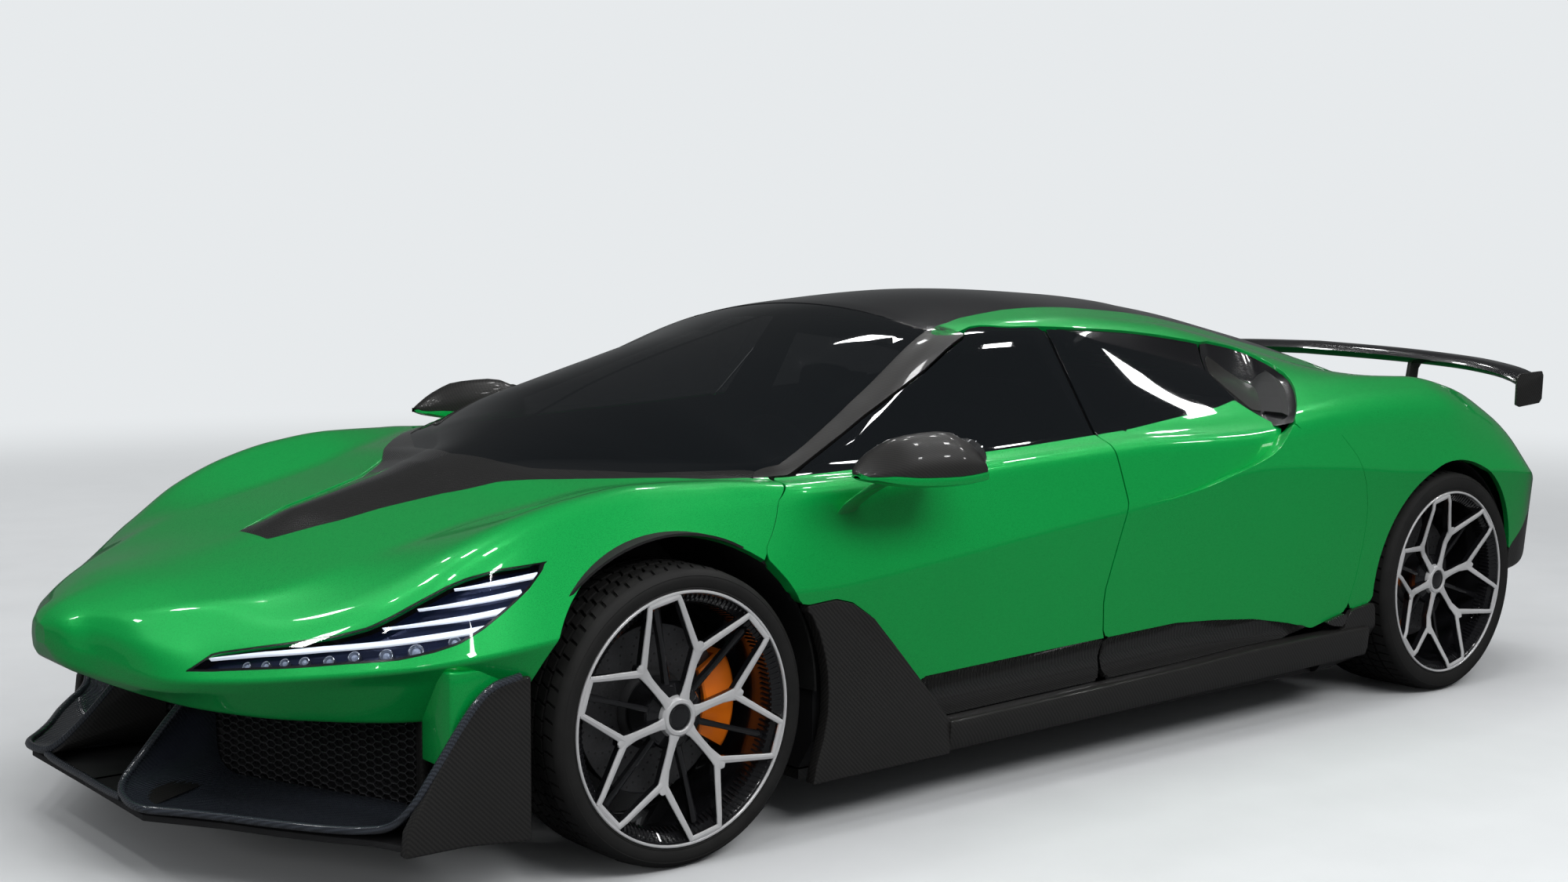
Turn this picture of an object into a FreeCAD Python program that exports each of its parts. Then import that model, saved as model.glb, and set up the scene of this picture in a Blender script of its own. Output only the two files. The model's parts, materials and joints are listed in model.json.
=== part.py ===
# Four-door supercar. Millimetres; X forward, Y to the car's left, Z up; the ground is z = 0.
import FreeCAD, Part
import math
import os
from FreeCAD import Vector

os.makedirs("parts", exist_ok=True)

# driving sizes
FRONT_AXLE_X = 1380
REAR_AXLE_X = -1650
PANEL = 25            # body panel thickness
GLASS = 9             # pane thickness
GAP = 5               # shut line between panels
DOOR_GAP = 8          # clearance between a door's body and the cell
CELL_WALL = 40        # wall of the passenger cell behind a door

FRONT_TYRE_R = 350
REAR_TYRE_R = 355
FRONT_RIM_R = FRONT_TYRE_R - 54
REAR_RIM_R = REAR_TYRE_R - 64
FRONT_TYRE_W = 265
REAR_TYRE_W = 305
FRONT_FACE_Y = 985    # outer face of the front tyre
REAR_FACE_Y = 990
KINGPIN_Y = 770
PIN_R = 12            # kingpin journals
FRONT_ARCH_R = FRONT_TYRE_R + 72
REAR_ARCH_R = REAR_TYRE_R + 40
FRONT_HOUSE_Y = 500   # inner end of the front wheelhouse, clear of a turned tyre
REAR_HOUSE_Y = 620
LINER = 6
RIM_LIP = 34          # height of the rim flange over the barrel's inside
SPOKE_OPEN = 22       # each arm of a split spoke leaves its middle by this angle at the rim

FLOOR_Z = 115
FLOOR_T = 25
TRAY_Z = 150          # splitter tray, underside
TRAY_T = 28
JACK_R = 45           # jacking pads under the floor
JACK_H = 12
JACK_X = (840, -1020)
JACK_Y = 760
DOOR_IN_Y = 828       # inner face of a door below the cabin floor
BLADE_IN_Y = 925
BLADE_OUT_Y = 992
DOOR_TAPER = 22       # rear edge of a door lies this much further forward at its inner face
BELT_SEAT = 3         # door top stands this much above the belt crease
RECESS_FROM = -200    # the flank behind the rear door's window sinks in from here
RECESS_TO = -950
RECESS_DEEP = 62

# body sections: half outline from the middle of the underside up to the middle of the roof
# x, under_z, under_y, sill_y, sill_z, crease_y, crease_z, shoulder_y, shoulder_z,
# belt_y, belt_z, rail_y, rail_z, top_z
BODY = (
    (2498, 505, 20, 28, 508, 32, 522, 28, 538, 20, 546, 10, 549, 550),
    (2485, 470, 70, 90, 480, 98, 512, 88, 546, 60, 560, 30, 565, 567),
    (2440, 440, 130, 165, 452, 180, 492, 165, 545, 110, 580, 55, 592, 596),
    (2380, 420, 300, 385, 446, 405, 474, 350, 530, 230, 590, 110, 612, 618),
    (2300, 402, 450, 520, 455, 545, 482, 455, 540, 320, 612, 140, 638, 642),
    (2170, 392, 620, 695, 474, 725, 505, 615, 580, 430, 640, 150, 663, 666),
    (2000, 392, 780, 850, 492, 885, 530, 750, 665, 490, 690, 150, 699, 703),
    (1850, 400, 850, 925, 492, 962, 555, 795, 758, 505, 730, 160, 741, 747),
    (1700, 420, 880, 955, 470, 990, 580, 812, 822, 515, 765, 180, 777, 785),
    (1550, 420, 900, 965, 455, 999, 600, 822, 860, 540, 798, 210, 810, 823),
    (1380, 420, 905, 970, 440, 1002, 612, 832, 878, 600, 838, 270, 858, 880),
    (1170, 300, 900, 965, 380, 994, 612, 868, 872, 725, 856, 600, 878, 966),
    (970, 120, 885, 952, 215, 985, 608, 920, 852, 838, 860, 790, 896, 1050),
    (600, 120, 880, 948, 210, 981, 638, 926, 850, 860, 872, 690, 1036, 1162),
    (180, 120, 880, 946, 210, 979, 682, 930, 868, 870, 890, 578, 1196, 1256),
    (-250, 120, 880, 948, 215, 982, 724, 942, 888, 872, 914, 578, 1212, 1284),
    (-700, 120, 880, 955, 225, 990, 785, 960, 905, 866, 946, 575, 1180, 1264),
    (-1050, 125, 880, 962, 240, 1000, 765, 962, 935, 852, 992, 560, 1120, 1222),
    (-1350, 150, 880, 968, 270, 1005, 735, 950, 950, 815, 1012, 545, 1050, 1165),
    (-1650, 230, 870, 970, 320, 1008, 715, 932, 940, 800, 1008, 560, 975, 1098),
    (-1900, 290, 850, 960, 345, 995, 700, 905, 890, 790, 965, 570, 925, 1020),
    (-2100, 310, 820, 940, 355, 972, 680, 868, 830, 762, 895, 550, 890, 955),
    (-2280, 325, 760, 885, 370, 915, 640, 810, 745, 710, 805, 500, 845, 890),
    (-2380, 335, 700, 815, 385, 845, 600, 755, 685, 660, 750, 460, 800, 845),
    (-2440, 345, 640, 740, 400, 770, 560, 700, 630, 610, 690, 430, 745, 790),
)

# passenger cell cavity: x, floor_z, low_y, waist_y, waist_z, rail_y, rail_z, top_z
CABIN = (
    (1040, 290, 740, 800, 640, 760, 800, 880),
    (600, 290, 780, 840, 640, 650, 985, 1110),
    (180, 290, 780, 840, 660, 525, 1145, 1205),
    (-250, 290, 780, 840, 700, 525, 1160, 1232),
    (-700, 290, 780, 835, 760, 520, 1125, 1205),
    (-1050, 290, 770, 820, 700, 510, 1060, 1160),
    (-1200, 290, 760, 800, 700, 500, 1020, 1120),
)


def offset_outline(points, distance):
    # moves each side of a closed outline inwards by distance, corners mitred
    moved = []
    for i, b in enumerate(points):
        a = points[i - 1]
        c = points[(i + 1) % len(points)]
        l1 = math.dist(a, b)
        l2 = math.dist(b, c)
        n1 = (-(b[1] - a[1]) / l1, (b[0] - a[0]) / l1)
        n2 = (-(c[1] - b[1]) / l2, (c[0] - b[0]) / l2)
        s = (n1[0] + n2[0], n1[1] + n2[1])
        k = distance / (s[0] * n1[0] + s[1] * n1[1])
        moved.append((b[0] + s[0] * k, b[1] + s[1] * k))
    return moved


def section(x, right, top, inset):
    # closed section at x: straight sides and one arc over the top
    outline = right + [(0, top)] + [(-y, z) for y, z in reversed(right)]
    n = len(right)
    p = [Vector(x, y, z) for y, z in offset_outline(outline, inset)]
    edges = [Part.makeLine(p[i], p[i + 1]) for i in range(n - 1)]
    edges.append(Part.Arc(p[n - 1], p[n], p[n + 1]).toShape())
    edges += [Part.makeLine(p[i], p[i + 1]) for i in range(n + 1, 2 * n)]
    edges.append(Part.makeLine(p[2 * n], p[0]))
    return Part.Wire(edges)


def body_loft(rows, inset):
    # inset is one distance, or one distance for each row
    wires = []
    insets = inset if isinstance(inset, list) else [inset] * len(rows)
    for row, deep in zip(rows, insets):
        x, uz, uy, sy, sz, cy, cz, hy, hz, by, bz, ry, rz, top = row
        right = [(uy, uz), (sy, sz), (cy, cz), (hy, hz), (by, bz), (ry, rz)]
        wires.append(section(x, right, top, deep))
    return Part.makeLoft(wires, True, True)


def cabin_loft(grow):
    wires = []
    for x, fz, ly, wy, wz, ry, rz, top in CABIN:
        right = [(ly, fz), (wy, wz), (ry, rz)]
        wires.append(section(x, right, top, -grow))
    return Part.makeLoft(wires, True, True)


def side_prism(points, y0, y1):
    # outline given in side view (x, z), from y0 to y1
    p = [Vector(x, y0, z) for x, z in points]
    return Part.Face(Part.makePolygon(p + p[:1])).extrude(Vector(0, y1 - y0, 0))


def tapered_prism(points, y0, y1, taper):
    # as side_prism, but the inner outline's rear edge lies further forward, so that a door swings out
    rear = min(x for x, z in points)
    inner = [Vector(x + taper if x < rear + 200 else x, y0, z) for x, z in points]
    skin = [Vector(x, y1, z) for x, z in points]
    return Part.makeLoft([Part.makePolygon(p + p[:1]) for p in (inner, skin)], True, True)


def plan_prism(points, z0, z1):
    # outline given in plan (x, y), from z0 to z1
    p = [Vector(x, y, z0) for x, y in points]
    return Part.Face(Part.makePolygon(p + p[:1])).extrude(Vector(0, 0, z1 - z0))


def box(x0, x1, y0, y1, z0, z1):
    return Part.makeBox(x1 - x0, y1 - y0, z1 - z0, Vector(x0, y0, z0))


def cyl_y(x, z, r, y0, y1):
    return Part.makeCylinder(r, y1 - y0, Vector(x, y0, z), Vector(0, 1, 0))


def mirror(shape):
    return shape.mirror(Vector(0, 0, 0), Vector(0, 1, 0))


def fuse(shapes):
    return shapes[0].multiFuse(shapes[1:]).removeSplitter() if len(shapes) > 1 else shapes[0]


def both(shape):
    return [shape, mirror(shape)]


def export(name, shapes):
    solids = []
    for s in shapes if isinstance(shapes, (list, tuple)) else [shapes]:
        solids += s.Solids
    solids = [s for s in solids if s.Volume > 2000]
    for s in solids:
        if not s.isValid():
            print("INVALID", name)
    Part.makeCompound(solids).exportStep("parts/%s.step" % name)
    print(name, len(solids), round(sum(s.Volume for s in solids) / 1e6, 2), "litres")


# body volumes; the inner ones start behind the thin tip of the nose and leave a rear wall
inner_rows = BODY[3:-1] + ((BODY[-1][0] + PANEL,) + BODY[-1][1:],)
outer = body_loft(BODY, 0)
under_panel = body_loft(inner_rows, PANEL)
under_glass = body_loft(inner_rows, GLASS)
shell = outer.cut(under_panel)
pane_shell = outer.cut(under_glass)
flank_rows = BODY[12:19]


def sink(row):
    # how far the flank behind the crease lies inside the body line at this section
    t = (RECESS_FROM - row[0]) / (RECESS_FROM - RECESS_TO)
    return RECESS_DEEP * max(0, min(1, t))


sunk = body_loft(flank_rows, [sink(r) for r in flank_rows])
sunk_glass = body_loft(flank_rows, [sink(r) + GLASS for r in flank_rows])
sunk_panel = body_loft(flank_rows, [sink(r) + PANEL for r in flank_rows])
cabin = cabin_loft(0)
door_back = cabin_loft(CELL_WALL + DOOR_GAP)
cell_side = cabin_loft(CELL_WALL)

front_house = fuse(both(cyl_y(FRONT_AXLE_X, FRONT_TYRE_R, FRONT_ARCH_R, FRONT_HOUSE_Y, 1100))
                   + both(box(FRONT_AXLE_X - FRONT_ARCH_R, FRONT_AXLE_X + FRONT_ARCH_R,
                              FRONT_HOUSE_Y, 1100, 0, FRONT_TYRE_R)))
rear_house = fuse(both(cyl_y(REAR_AXLE_X, REAR_TYRE_R, REAR_ARCH_R, REAR_HOUSE_Y, 1100))
                  + both(box(REAR_AXLE_X - REAR_ARCH_R, REAR_AXLE_X + REAR_ARCH_R,
                             REAR_HOUSE_Y, 1100, 0, REAR_TYRE_R)))
houses = front_house.fuse(rear_house)

belt = [(r[0], r[10] + BELT_SEAT) for r in BODY]
# top edge of the side windows, and the same edge raised for the frame round them
window_top = [(600, 1026), (150, 1185), (-57, 1195), (-263, 1189), (-561, 1168), (-832, 1131), (-1026, 1088)]


def at(line, x):
    # height of a side-view line at x
    for (x1, z1), (x0, z0) in zip(line, line[1:]):
        if x0 <= x <= x1:
            return z0 + (z1 - z0) * (x - x0) / (x1 - x0)
    raise ValueError(x)


def stretch(line, x_front, x_rear):
    # part of a side-view line from x_front back to x_rear
    inner = [p for p in line if x_rear < p[0] < x_front]
    return [(x_front, at(line, x_front))] + inner + [(x_rear, at(line, x_rear))]


# shut lines in side view, top to bottom; the rear one keeps its distance to the rear arch
C_X = REAR_AXLE_X + REAR_ARCH_R
CUT_A = [(1015, 866), (1063, 818), (1076, 782), (1096, 748), (1124, 714), (1124, 690)]
CUT_B = [(-93, 906), (-106, 817), (-116, 732), (-75, 606), (-36, 480), (-45, 372), (-60, 340), (-70, 246)]
CUT_C = [(C_X + 355, 960), (C_X + 296, 914), (C_X + 192, 862), (C_X + 130, 796), (C_X + 86, 706),
         (C_X + 69, 640), (C_X + 69, 557), (C_X + 88, 438), (C_X + 122, 327), (C_X + 139, 262)]
FIN = [(1124, 690), (1090, 640), (1045, 578), (1021, 572), (932, 577), (878, 562), (809, 517), (723, 423),
       (640, 330), (549, 226)]
BLADE_TOP = [(549, 226), (-86, 240), (-364, 247), (-631, 258), (-929, 262), (C_X + 145, 262)]
# inner edge of the loop that the crease turns up into, and the window's top edge from there
LOOP = [(-303, 729), (-445, 751), (-579, 783), (-699, 812), (-765, 838), (-824, 880), (-888, 928),
        (-961, 967), (-1031, 1007), (-1072, 1034), (-1088, 1062), (-1070, 1090), (-1008, 1112), (-869, 1135)]
B_FRONT = [(x + GAP, z) for x, z in CUT_B]
blade_up = [(x, z + GAP) for x, z in BLADE_TOP]

# the rear door ends at the loop above the crease and at CUT_C below it
C_LOW = [(x + GAP, z) for x, z in CUT_C if z < 900]
front_door_line = (stretch(belt, 1010, -93 + GAP) + B_FRONT[1:-1]
                   + [(-63, at(BLADE_TOP, -63) + GAP), (549, 226 + GAP)]
                   + [(x, z + GAP) for x, z in FIN[-2:1:-1]] + [(1080, 640)]
                   + [(x - GAP, z) for x, z in CUT_A[::-1][:-1]])
rear_door_line = (stretch(belt, -93 - GAP, -812) + [(-832, 938), (-872, 890)] + C_LOW[:-1]
                  + stretch(blade_up, -78, C_X + 145)[::-1]
                  + [(x - GAP, z) for x, z in CUT_B[1:-1][::-1]])
front_door_cut = tapered_prism(front_door_line, DOOR_IN_Y, 1020, DOOR_TAPER)
rear_door_cut = tapered_prism(rear_door_line, DOOR_IN_Y, 1020, DOOR_TAPER)
belt_up = [(x, z + GAP) for x, z in belt]
side_line = (stretch(belt_up, 1015, -818) + [(-838, 938), (-878, 890)] + [p for p in CUT_C if p[1] < 900]
             + BLADE_TOP[::-1] + FIN[::-1][1:-1] + CUT_A[::-1][:-1])
side_space = side_prism(side_line, 500, 1100)
side_space = side_space.fuse(mirror(side_space))
blade_line = ([(1025, 132), (C_X + 36, 165), (C_X + 27, 252)] + BLADE_TOP[::-1] + FIN[::-1][1:-3]
              + [(1021, 560)])
blade = side_prism(blade_line, BLADE_IN_Y, BLADE_OUT_Y).cut(houses)
blades = blade.fuse(mirror(blade))
# the flank that sinks in: everything inside the loop, outside the sunk surface
sink_line = LOOP + window_top[::-1][1:4] + [(-205, 1192), (-205, 722)]
sink_cut = side_prism(sink_line, 400, 1100).cut(sunk)
sink_cut = sink_cut.fuse(mirror(sink_cut))

# passenger cell
cell = under_panel.common(box(-1300, 1075, -1100, 1100, 100, 1300)).cut(cabin).cut(houses)
pocket_line = (stretch(belt, 1075, -860) + [(-920, 895), (-1080, 870), (-1190, 790), (-1215, 600),
               (-1200, 440), (-1165, 300), (-1140, 250), (540, 205), (672, 350), (850, 545), (1040, 555),
               (1110, 640)])
pocket = side_prism(pocket_line, DOOR_IN_Y - DOOR_GAP, 1100).cut(cell_side)
front_hole = side_prism([(940, 845), (10, 885), (-40, 820), (-50, 712), (-20, 560), (40, 420), (40, 330),
                         (620, 330), (800, 480), (960, 620)], 400, 1100)
rear_hole = side_prism([(-180, 890), (-790, 920), (-970, 840), (-1100, 720), (-1110, 600), (-1010, 330),
                        (-150, 330), (-160, 420), (-190, 600), (-225, 760)], 400, 1100)
window_line = (stretch(window_top, 150, -1026) + [(-1060, 1050), (-980, 990), (-850, 955)]
               + stretch(belt, 950, -830)[::-1])
window_hole = side_prism(window_line, 400, 1100)
b_post = box(-190, -110, 400, 1100, 800, 1300)
left_cut = pocket.fuse([front_hole, rear_hole, window_hole.cut(b_post)])
screen_plan = [(1420, 0), (1365, 300), (1215, 600), (1040, 775), (970, 790), (250, 520), (250, 0)]
roof_hole = plan_prism([(280, 470), (-800, 470), (-1200, 440), (-1350, 430), (-1350, -430),
                        (-1200, -440), (-800, -470), (280, -470)], 1000, 1300)
screen_hole = plan_prism(screen_plan[:-1] + [(250, 480), (250, -480)]
                         + [(x, -y) for x, y in screen_plan[1:-1][::-1]], 820, 1300)
cell = cell.cut(left_cut).cut(mirror(left_cut)).cut(roof_hole).cut(screen_hole).cut(blades)
cell = cell.cut(box(-1400, 1200, -1100, 1100, 0, FLOOR_Z + FLOOR_T)).cut(sink_cut)
battery = box(-1000, 900, -700, 700, FLOOR_Z + FLOOR_T, 255)
cell = cell.cut(box(-1005, 905, -705, 705, 0, 255))
cell = cell.cut(side_prism(sink_line, 400, 1100).cut(sunk_panel)).cut(
    mirror(side_prism(sink_line, 400, 1100).cut(sunk_panel)))
export("passenger_cell", cell)

# outer panels
spear_plan = [(1975, 83), (1819, 157), (1720, 175), (1578, 223), (1464, 305), (1385, 440), (1282, 575),
              (1143, 736), (1045, 808), (1030, 786), (1215, 600), (1365, 300), (1420, 0)]
spear_cut = plan_prism(spear_plan + [(x, -y) for x, y in spear_plan[:-1][::-1]], 600, 1300)
full_screen = plan_prism([(1420, 0), (1365, 300), (1215, 600), (1030, 786), (970, 800), (240, 540),
                          (240, -540), (970, -800), (1030, -786), (1215, -600), (1365, -300)], 800, 1300)
clip_line = [(2600, 380), (2600, 1000), (1015, 1000)] + CUT_A[:-1] + [(1124, 620), (1040, 595), (1040, 380)]
front_bay = box(1000, 1790, -FRONT_HOUSE_Y, FRONT_HOUSE_Y, 200, 520)
rear_bay = box(-2050, -1250, -REAR_HOUSE_Y, REAR_HOUSE_Y, 100, 520)
front_clip = shell.common(side_prism(clip_line, -1100, 1100)).cut(houses).cut(front_bay)
front_clip = front_clip.cut(spear_cut).cut(full_screen)
pillar_plan = [(1055, 806), (970, 832), (638, 732), (354, 660), (139, 588), (181, 524), (240, 540),
               (970, 800), (1030, 786)]
pillar_cut = plan_prism(pillar_plan, 840, 1300)
front_clip = front_clip.cut(pillar_cut).cut(mirror(pillar_cut))
# headlamp in side view: top edge from the tip back, then the lower edge forward again
lamp_side = [(2345, 495), (2289, 535), (2208, 559), (2111, 585), (2055, 606), (1999, 636), (1949, 664),
             (1898, 691), (1859, 706), (1794, 721), (1681, 732), (1745, 679), (1801, 643), (1863, 606),
             (1919, 577), (1967, 561), (2033, 545), (2112, 534), (2220, 515), (2307, 499)]
lamp_cut = side_prism(lamp_side, 400, 1100)
lamps = [shell.common(lamp_cut)]
front_clip = front_clip.cut(lamp_cut).cut(mirror(lamp_cut))
# painted struts that drop from the beak behind the intakes
strut = box(1900, 1962, 800, 924, 310, 505).cut(front_clip).cut(lamp_cut).cut(houses)
front_clip = fuse([front_clip, strut, mirror(strut)])
export("front_clip", front_clip)
export("headlamps", lamps + [mirror(s) for s in lamps])
spear = shell.common(spear_cut).cut(side_space).cut(pillar_cut).cut(mirror(pillar_cut))
export("bonnet_spear", spear)

windscreen = pane_shell.common(full_screen).cut(side_space)
export("windscreen", windscreen)

# black roof from the screen back, narrowing to the rear; the paint over the windows widens there
roof_line = [(240, 545), (181, 524), (60, 480), (-150, 440), (-450, 408), (-860, 392)]
pillar = shell.common(pillar_cut).cut(side_space)
roof_cut = plan_prism(roof_line + [(x, -y) for x, y in roof_line[::-1]], 900, 1300)
pillar = pillar.cut(roof_cut)
export("pillar_trims", both(pillar))
export("roof_panel", shell.common(roof_cut))
rear_glass_line = [(-860, 392), (-1300, 380), (-1780, 350)]
rear_glass_cut = plan_prism(rear_glass_line + [(x, -y) for x, y in rear_glass_line[::-1]], 900, 1300)
export("rear_window", pane_shell.common(rear_glass_cut))

sunk_pane = sunk.cut(sunk_glass)
quarter_line = [(-832, 953), (-832, 1131), (-1026, 1088), (-1066, 1062), (-1066, 1040), (-955, 972),
                (-900, 958)]
quarter_cut = side_prism(quarter_line, 400, 1100)
export("quarter_trims", both(sunk_pane.common(quarter_cut).cut(side_space)))

bumper_line = [(-2040, 100), (-2040, 430), (-2180, 520), (-2600, 560), (-2600, 100)]
bumper_cut = side_prism(bumper_line, -1100, 1100)
tail_cut = side_prism([(-2320, 640), (-2320, 672), (-2600, 690), (-2600, 652)], -1100, 1100)
window_open = side_prism(stretch(window_top, 180, -832) + quarter_line[2:] + [(-838, 958)]
                         + stretch(belt, 1100, -838)[::-1] + [(1100, 1190)], 400, 1100)
rear_line = ([(240, 1300), (-2600, 1300), (-2600, 100), (C_X + 160, 100), (C_X + 160, 258)]
             + CUT_C[::-1] + [(-838, 958), (-838, 1000), (-880, 1100), (240, 1100)])
rear_space = side_prism(rear_line, -1100, 1100)
rear_body = shell.common(rear_space)
# inner wall of the loop, carried down to the sunk flank
loop_wall = outer.cut(sunk_panel).common(side_prism(sink_line, 400, 1100)).cut(sink_cut)
rear_body = fuse([rear_body] + [s.common(rear_space) for s in both(loop_wall)]).cut(houses)
rear_body = rear_body.cut(sink_cut)
rear_body = rear_body.cut(roof_cut).cut(rear_glass_cut).cut(bumper_cut).cut(tail_cut)
rear_body = rear_body.cut(window_open).cut(mirror(window_open))
floor_plan = [(1900, 480), (960, 480), (955, 870), (-1200, 870), (-1250, 600), (-2080, 600)]
floor = plan_prism(floor_plan + [(x, -y) for x, y in floor_plan[::-1]], FLOOR_Z, FLOOR_Z + FLOOR_T)
rear_body = rear_body.cut(pillar_cut).cut(mirror(pillar_cut)).cut(full_screen)
rear_body = rear_body.cut(side_space).cut(blades).cut(floor).cut(rear_bay)
export("rear_body", rear_body)
export("tail_lamps", shell.common(tail_cut))
diffuser_plan = [(-2060, 700), (-2460, 640), (-2500, 400), (-2500, -400), (-2460, -640), (-2060, -700)]
diffuser = plan_prism(diffuser_plan, 330, 352)
fins = [side_prism([(-2080, 330), (-2480, 330), (-2470, 230), (-2300, 190), (-2080, 230)], y - 6, y + 6)
        for y in (-540, -324, -108, 108, 324, 540)]
export("rear_bumper", fuse([shell.common(bumper_cut).cut(houses), diffuser] + fins))

# doors
front_door = outer.common(front_door_cut).cut(door_back).cut(houses)
front_door = front_door.cut(box(1000, 1200, 0, 862, 0, 760))
rear_door = outer.common(rear_door_cut).cut(door_back).cut(houses).cut(sink_cut)
pane_top = [(x, z - GAP) for x, z in window_top]
front_pane_line = stretch(pane_top, 110, -160) + stretch(belt, 950, -86)[::-1]
rear_pane_line = ([(-172, 1186), (-263, 1181), (-561, 1154), (-824, 1114)]
                  + stretch(belt, -98, -824)[::-1])
pane_front = plan_prism([(1055, 813), (970, 839), (638, 739), (354, 667), (132, 595), (181, 524), (240, 540),
                         (970, 800), (1030, 786)], 840, 1300)
front_pane = pane_shell.common(side_prism(front_pane_line, 400, 1100)).cut(pane_front)
rear_band = side_prism(rear_pane_line, 400, 1100)
rear_pane = fuse([pane_shell.common(rear_band).common(box(-205, 0, 400, 1100, 800, 1300)),
                  sunk_pane.common(rear_band).common(box(-900, -205, 400, 1100, 800, 1300))])
parts = {
    "front_door_": front_door,
    "front_door_glass_": front_pane.cut(front_door),
    "rear_door_": rear_door,
    "rear_door_glass_": rear_pane.cut(rear_door),
}
# mirror housing: x, inner y, outer y, bottom z, top z
MIRROR = ((585, 985, 1140, 852, 958), (680, 985, 1150, 848, 978), (800, 992, 1145, 852, 972),
          (900, 1010, 1120, 866, 930), (948, 1040, 1090, 884, 904))
head_wires = []
for x, y0, y1, z0, z1 in MIRROR:
    h = z1 - z0
    w = y1 - y0
    p = [Vector(x, y0, z0), Vector(x, y1 - w * 0.1, z0), Vector(x, y1, z0 + h * 0.3),
         Vector(x, y1 - w * 0.15, z1 - h * 0.25), Vector(x, y0 + w * 0.5, z1), Vector(x, y0, z1 - h * 0.2)]
    head_wires.append(Part.makePolygon(p + p[:1]))
head = Part.makeLoft(head_wires, True, True)
# stalk: x, y, z of its middle line, from the shoulder of the door up into the housing
STALK = ((870, 930, 765), (845, 965, 800), (820, 1030, 858))
arm = Part.makeLoft([Part.makePolygon([Vector(x + 34, y, z), Vector(x - 34, y, z), Vector(x - 30, y, z + 24),
                                       Vector(x + 30, y, z + 24), Vector(x + 34, y, z)])
                     for x, y, z in STALK], True, True)
parts["mirror_"] = fuse([head, arm]).cut(front_door)
for name, shape in parts.items():
    export(name + "left", shape)
    export(name + "right", mirror(shape))

# underside and aero
pads = [Part.makeCylinder(JACK_R, JACK_H, Vector(px, py, FLOOR_Z - JACK_H))
        for px in JACK_X for py in (-JACK_Y, JACK_Y)]
export("floor_pan", fuse([floor.cut(houses)] + pads))
export("battery_pack", battery)
export("sill_blades", both(blade))

# splitter: tray, raised lip along its front edge, walls of the two scoops, outer end plates
tray_edge = [(2412, 0), (2414, 360), (2300, 528), (2232, 650), (2160, 762), (2100, 825), (2060, 925)]
lip_in = [(2390, 0), (2388, 350), (2280, 515), (2212, 637), (2142, 747), (2082, 805), (2040, 915)]
tray_plan = [(1795, 560), (1795, 925)] + tray_edge[::-1]
TRAY_TOP = TRAY_Z + TRAY_T
tray = plan_prism(tray_plan + [(x, -y) for x, y in tray_plan[:-1][::-1]], TRAY_Z, TRAY_TOP)
lip_half = tray_edge[1:] + lip_in[:0:-1]
lips = both(plan_prism(lip_half, TRAY_TOP, TRAY_TOP + 24))
end_plate = side_prism([(1775, 133), (1936, 150), (2085, TRAY_Z), (2078, 205), (2050, 250), (2010, 315),
                        (1944, 413), (1900, 462), (1860, 487), (1800, 499), (1775, 499)], 925, 962)
scoop_wall = side_prism([(2404, TRAY_TOP), (2395, 205), (2270, 330), (2215, 400), (2080, 400),
                         (2080, TRAY_TOP)], 186, 204)
keel = box(1795, 2120, -150, 150, TRAY_TOP, 440)
splitter = fuse([tray, box(1795, 1960, -560, 560, FLOOR_Z, TRAY_TOP), keel] + lips + both(end_plate)
                + both(scoop_wall))
splitter = splitter.cut(outer).cut(houses).cut(floor).cut(front_clip)
export("front_splitter", splitter)

# intake grilles: flat plates of six-sided holes, each with a blank vane at its outer end
GRILLE_A = (2146, 156)
GRILLE_B = (1915, 696)
GRILLE_T = 14
HOLE_W = 38
HOLE_H = 26
GRILLE_BAR = 8
run = math.dist(GRILLE_A, GRILLE_B)
ux = (GRILLE_B[0] - GRILLE_A[0]) / run
uy = (GRILLE_B[1] - GRILLE_A[1]) / run


def on_grille(s, z):
    # point on the front face, s along the plate from its inner end
    return Vector(GRILLE_A[0] + ux * s, GRILLE_A[1] + uy * s, z)


def hexagon(s, z):
    corners = [(-0.5, 0), (-0.25, -0.5), (0.25, -0.5), (0.5, 0), (0.25, 0.5), (-0.25, 0.5)]
    p = [on_grille(s + a * HOLE_W, z + b * HOLE_H) for a, b in corners]
    return Part.Face(Part.makePolygon(p + p[:1]))


back = Vector(-uy, ux, 0) * -GRILLE_T
frame_p = [on_grille(0, TRAY_TOP), on_grille(run, TRAY_TOP), on_grille(run, 470), on_grille(0, 470)]
plate = Part.Face(Part.makePolygon(frame_p + frame_p[:1]))
pitch_s = HOLE_W * 0.75 + GRILLE_BAR
pitch_z = HOLE_H + GRILLE_BAR
holes = []
for i in range(int((run - HOLE_W) / pitch_s)):
    for j in range(int((400 - TRAY_TOP) / pitch_z)):
        z = TRAY_TOP + 12 + HOLE_H * 0.5 + pitch_z * (j + 0.5 * (i % 2))
        holes.append(hexagon(HOLE_W * 0.8 + pitch_s * i, z))
mesh = plate.cut(holes).extrude(back)
vane = plan_prism([GRILLE_B, (1958, 800), (1944, 800), (1901, 696)], TRAY_TOP, 470)
grille = mesh.fuse(vane).cut(outer).cut(front_clip).cut(splitter)
export("front_grilles", both(grille))

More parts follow.
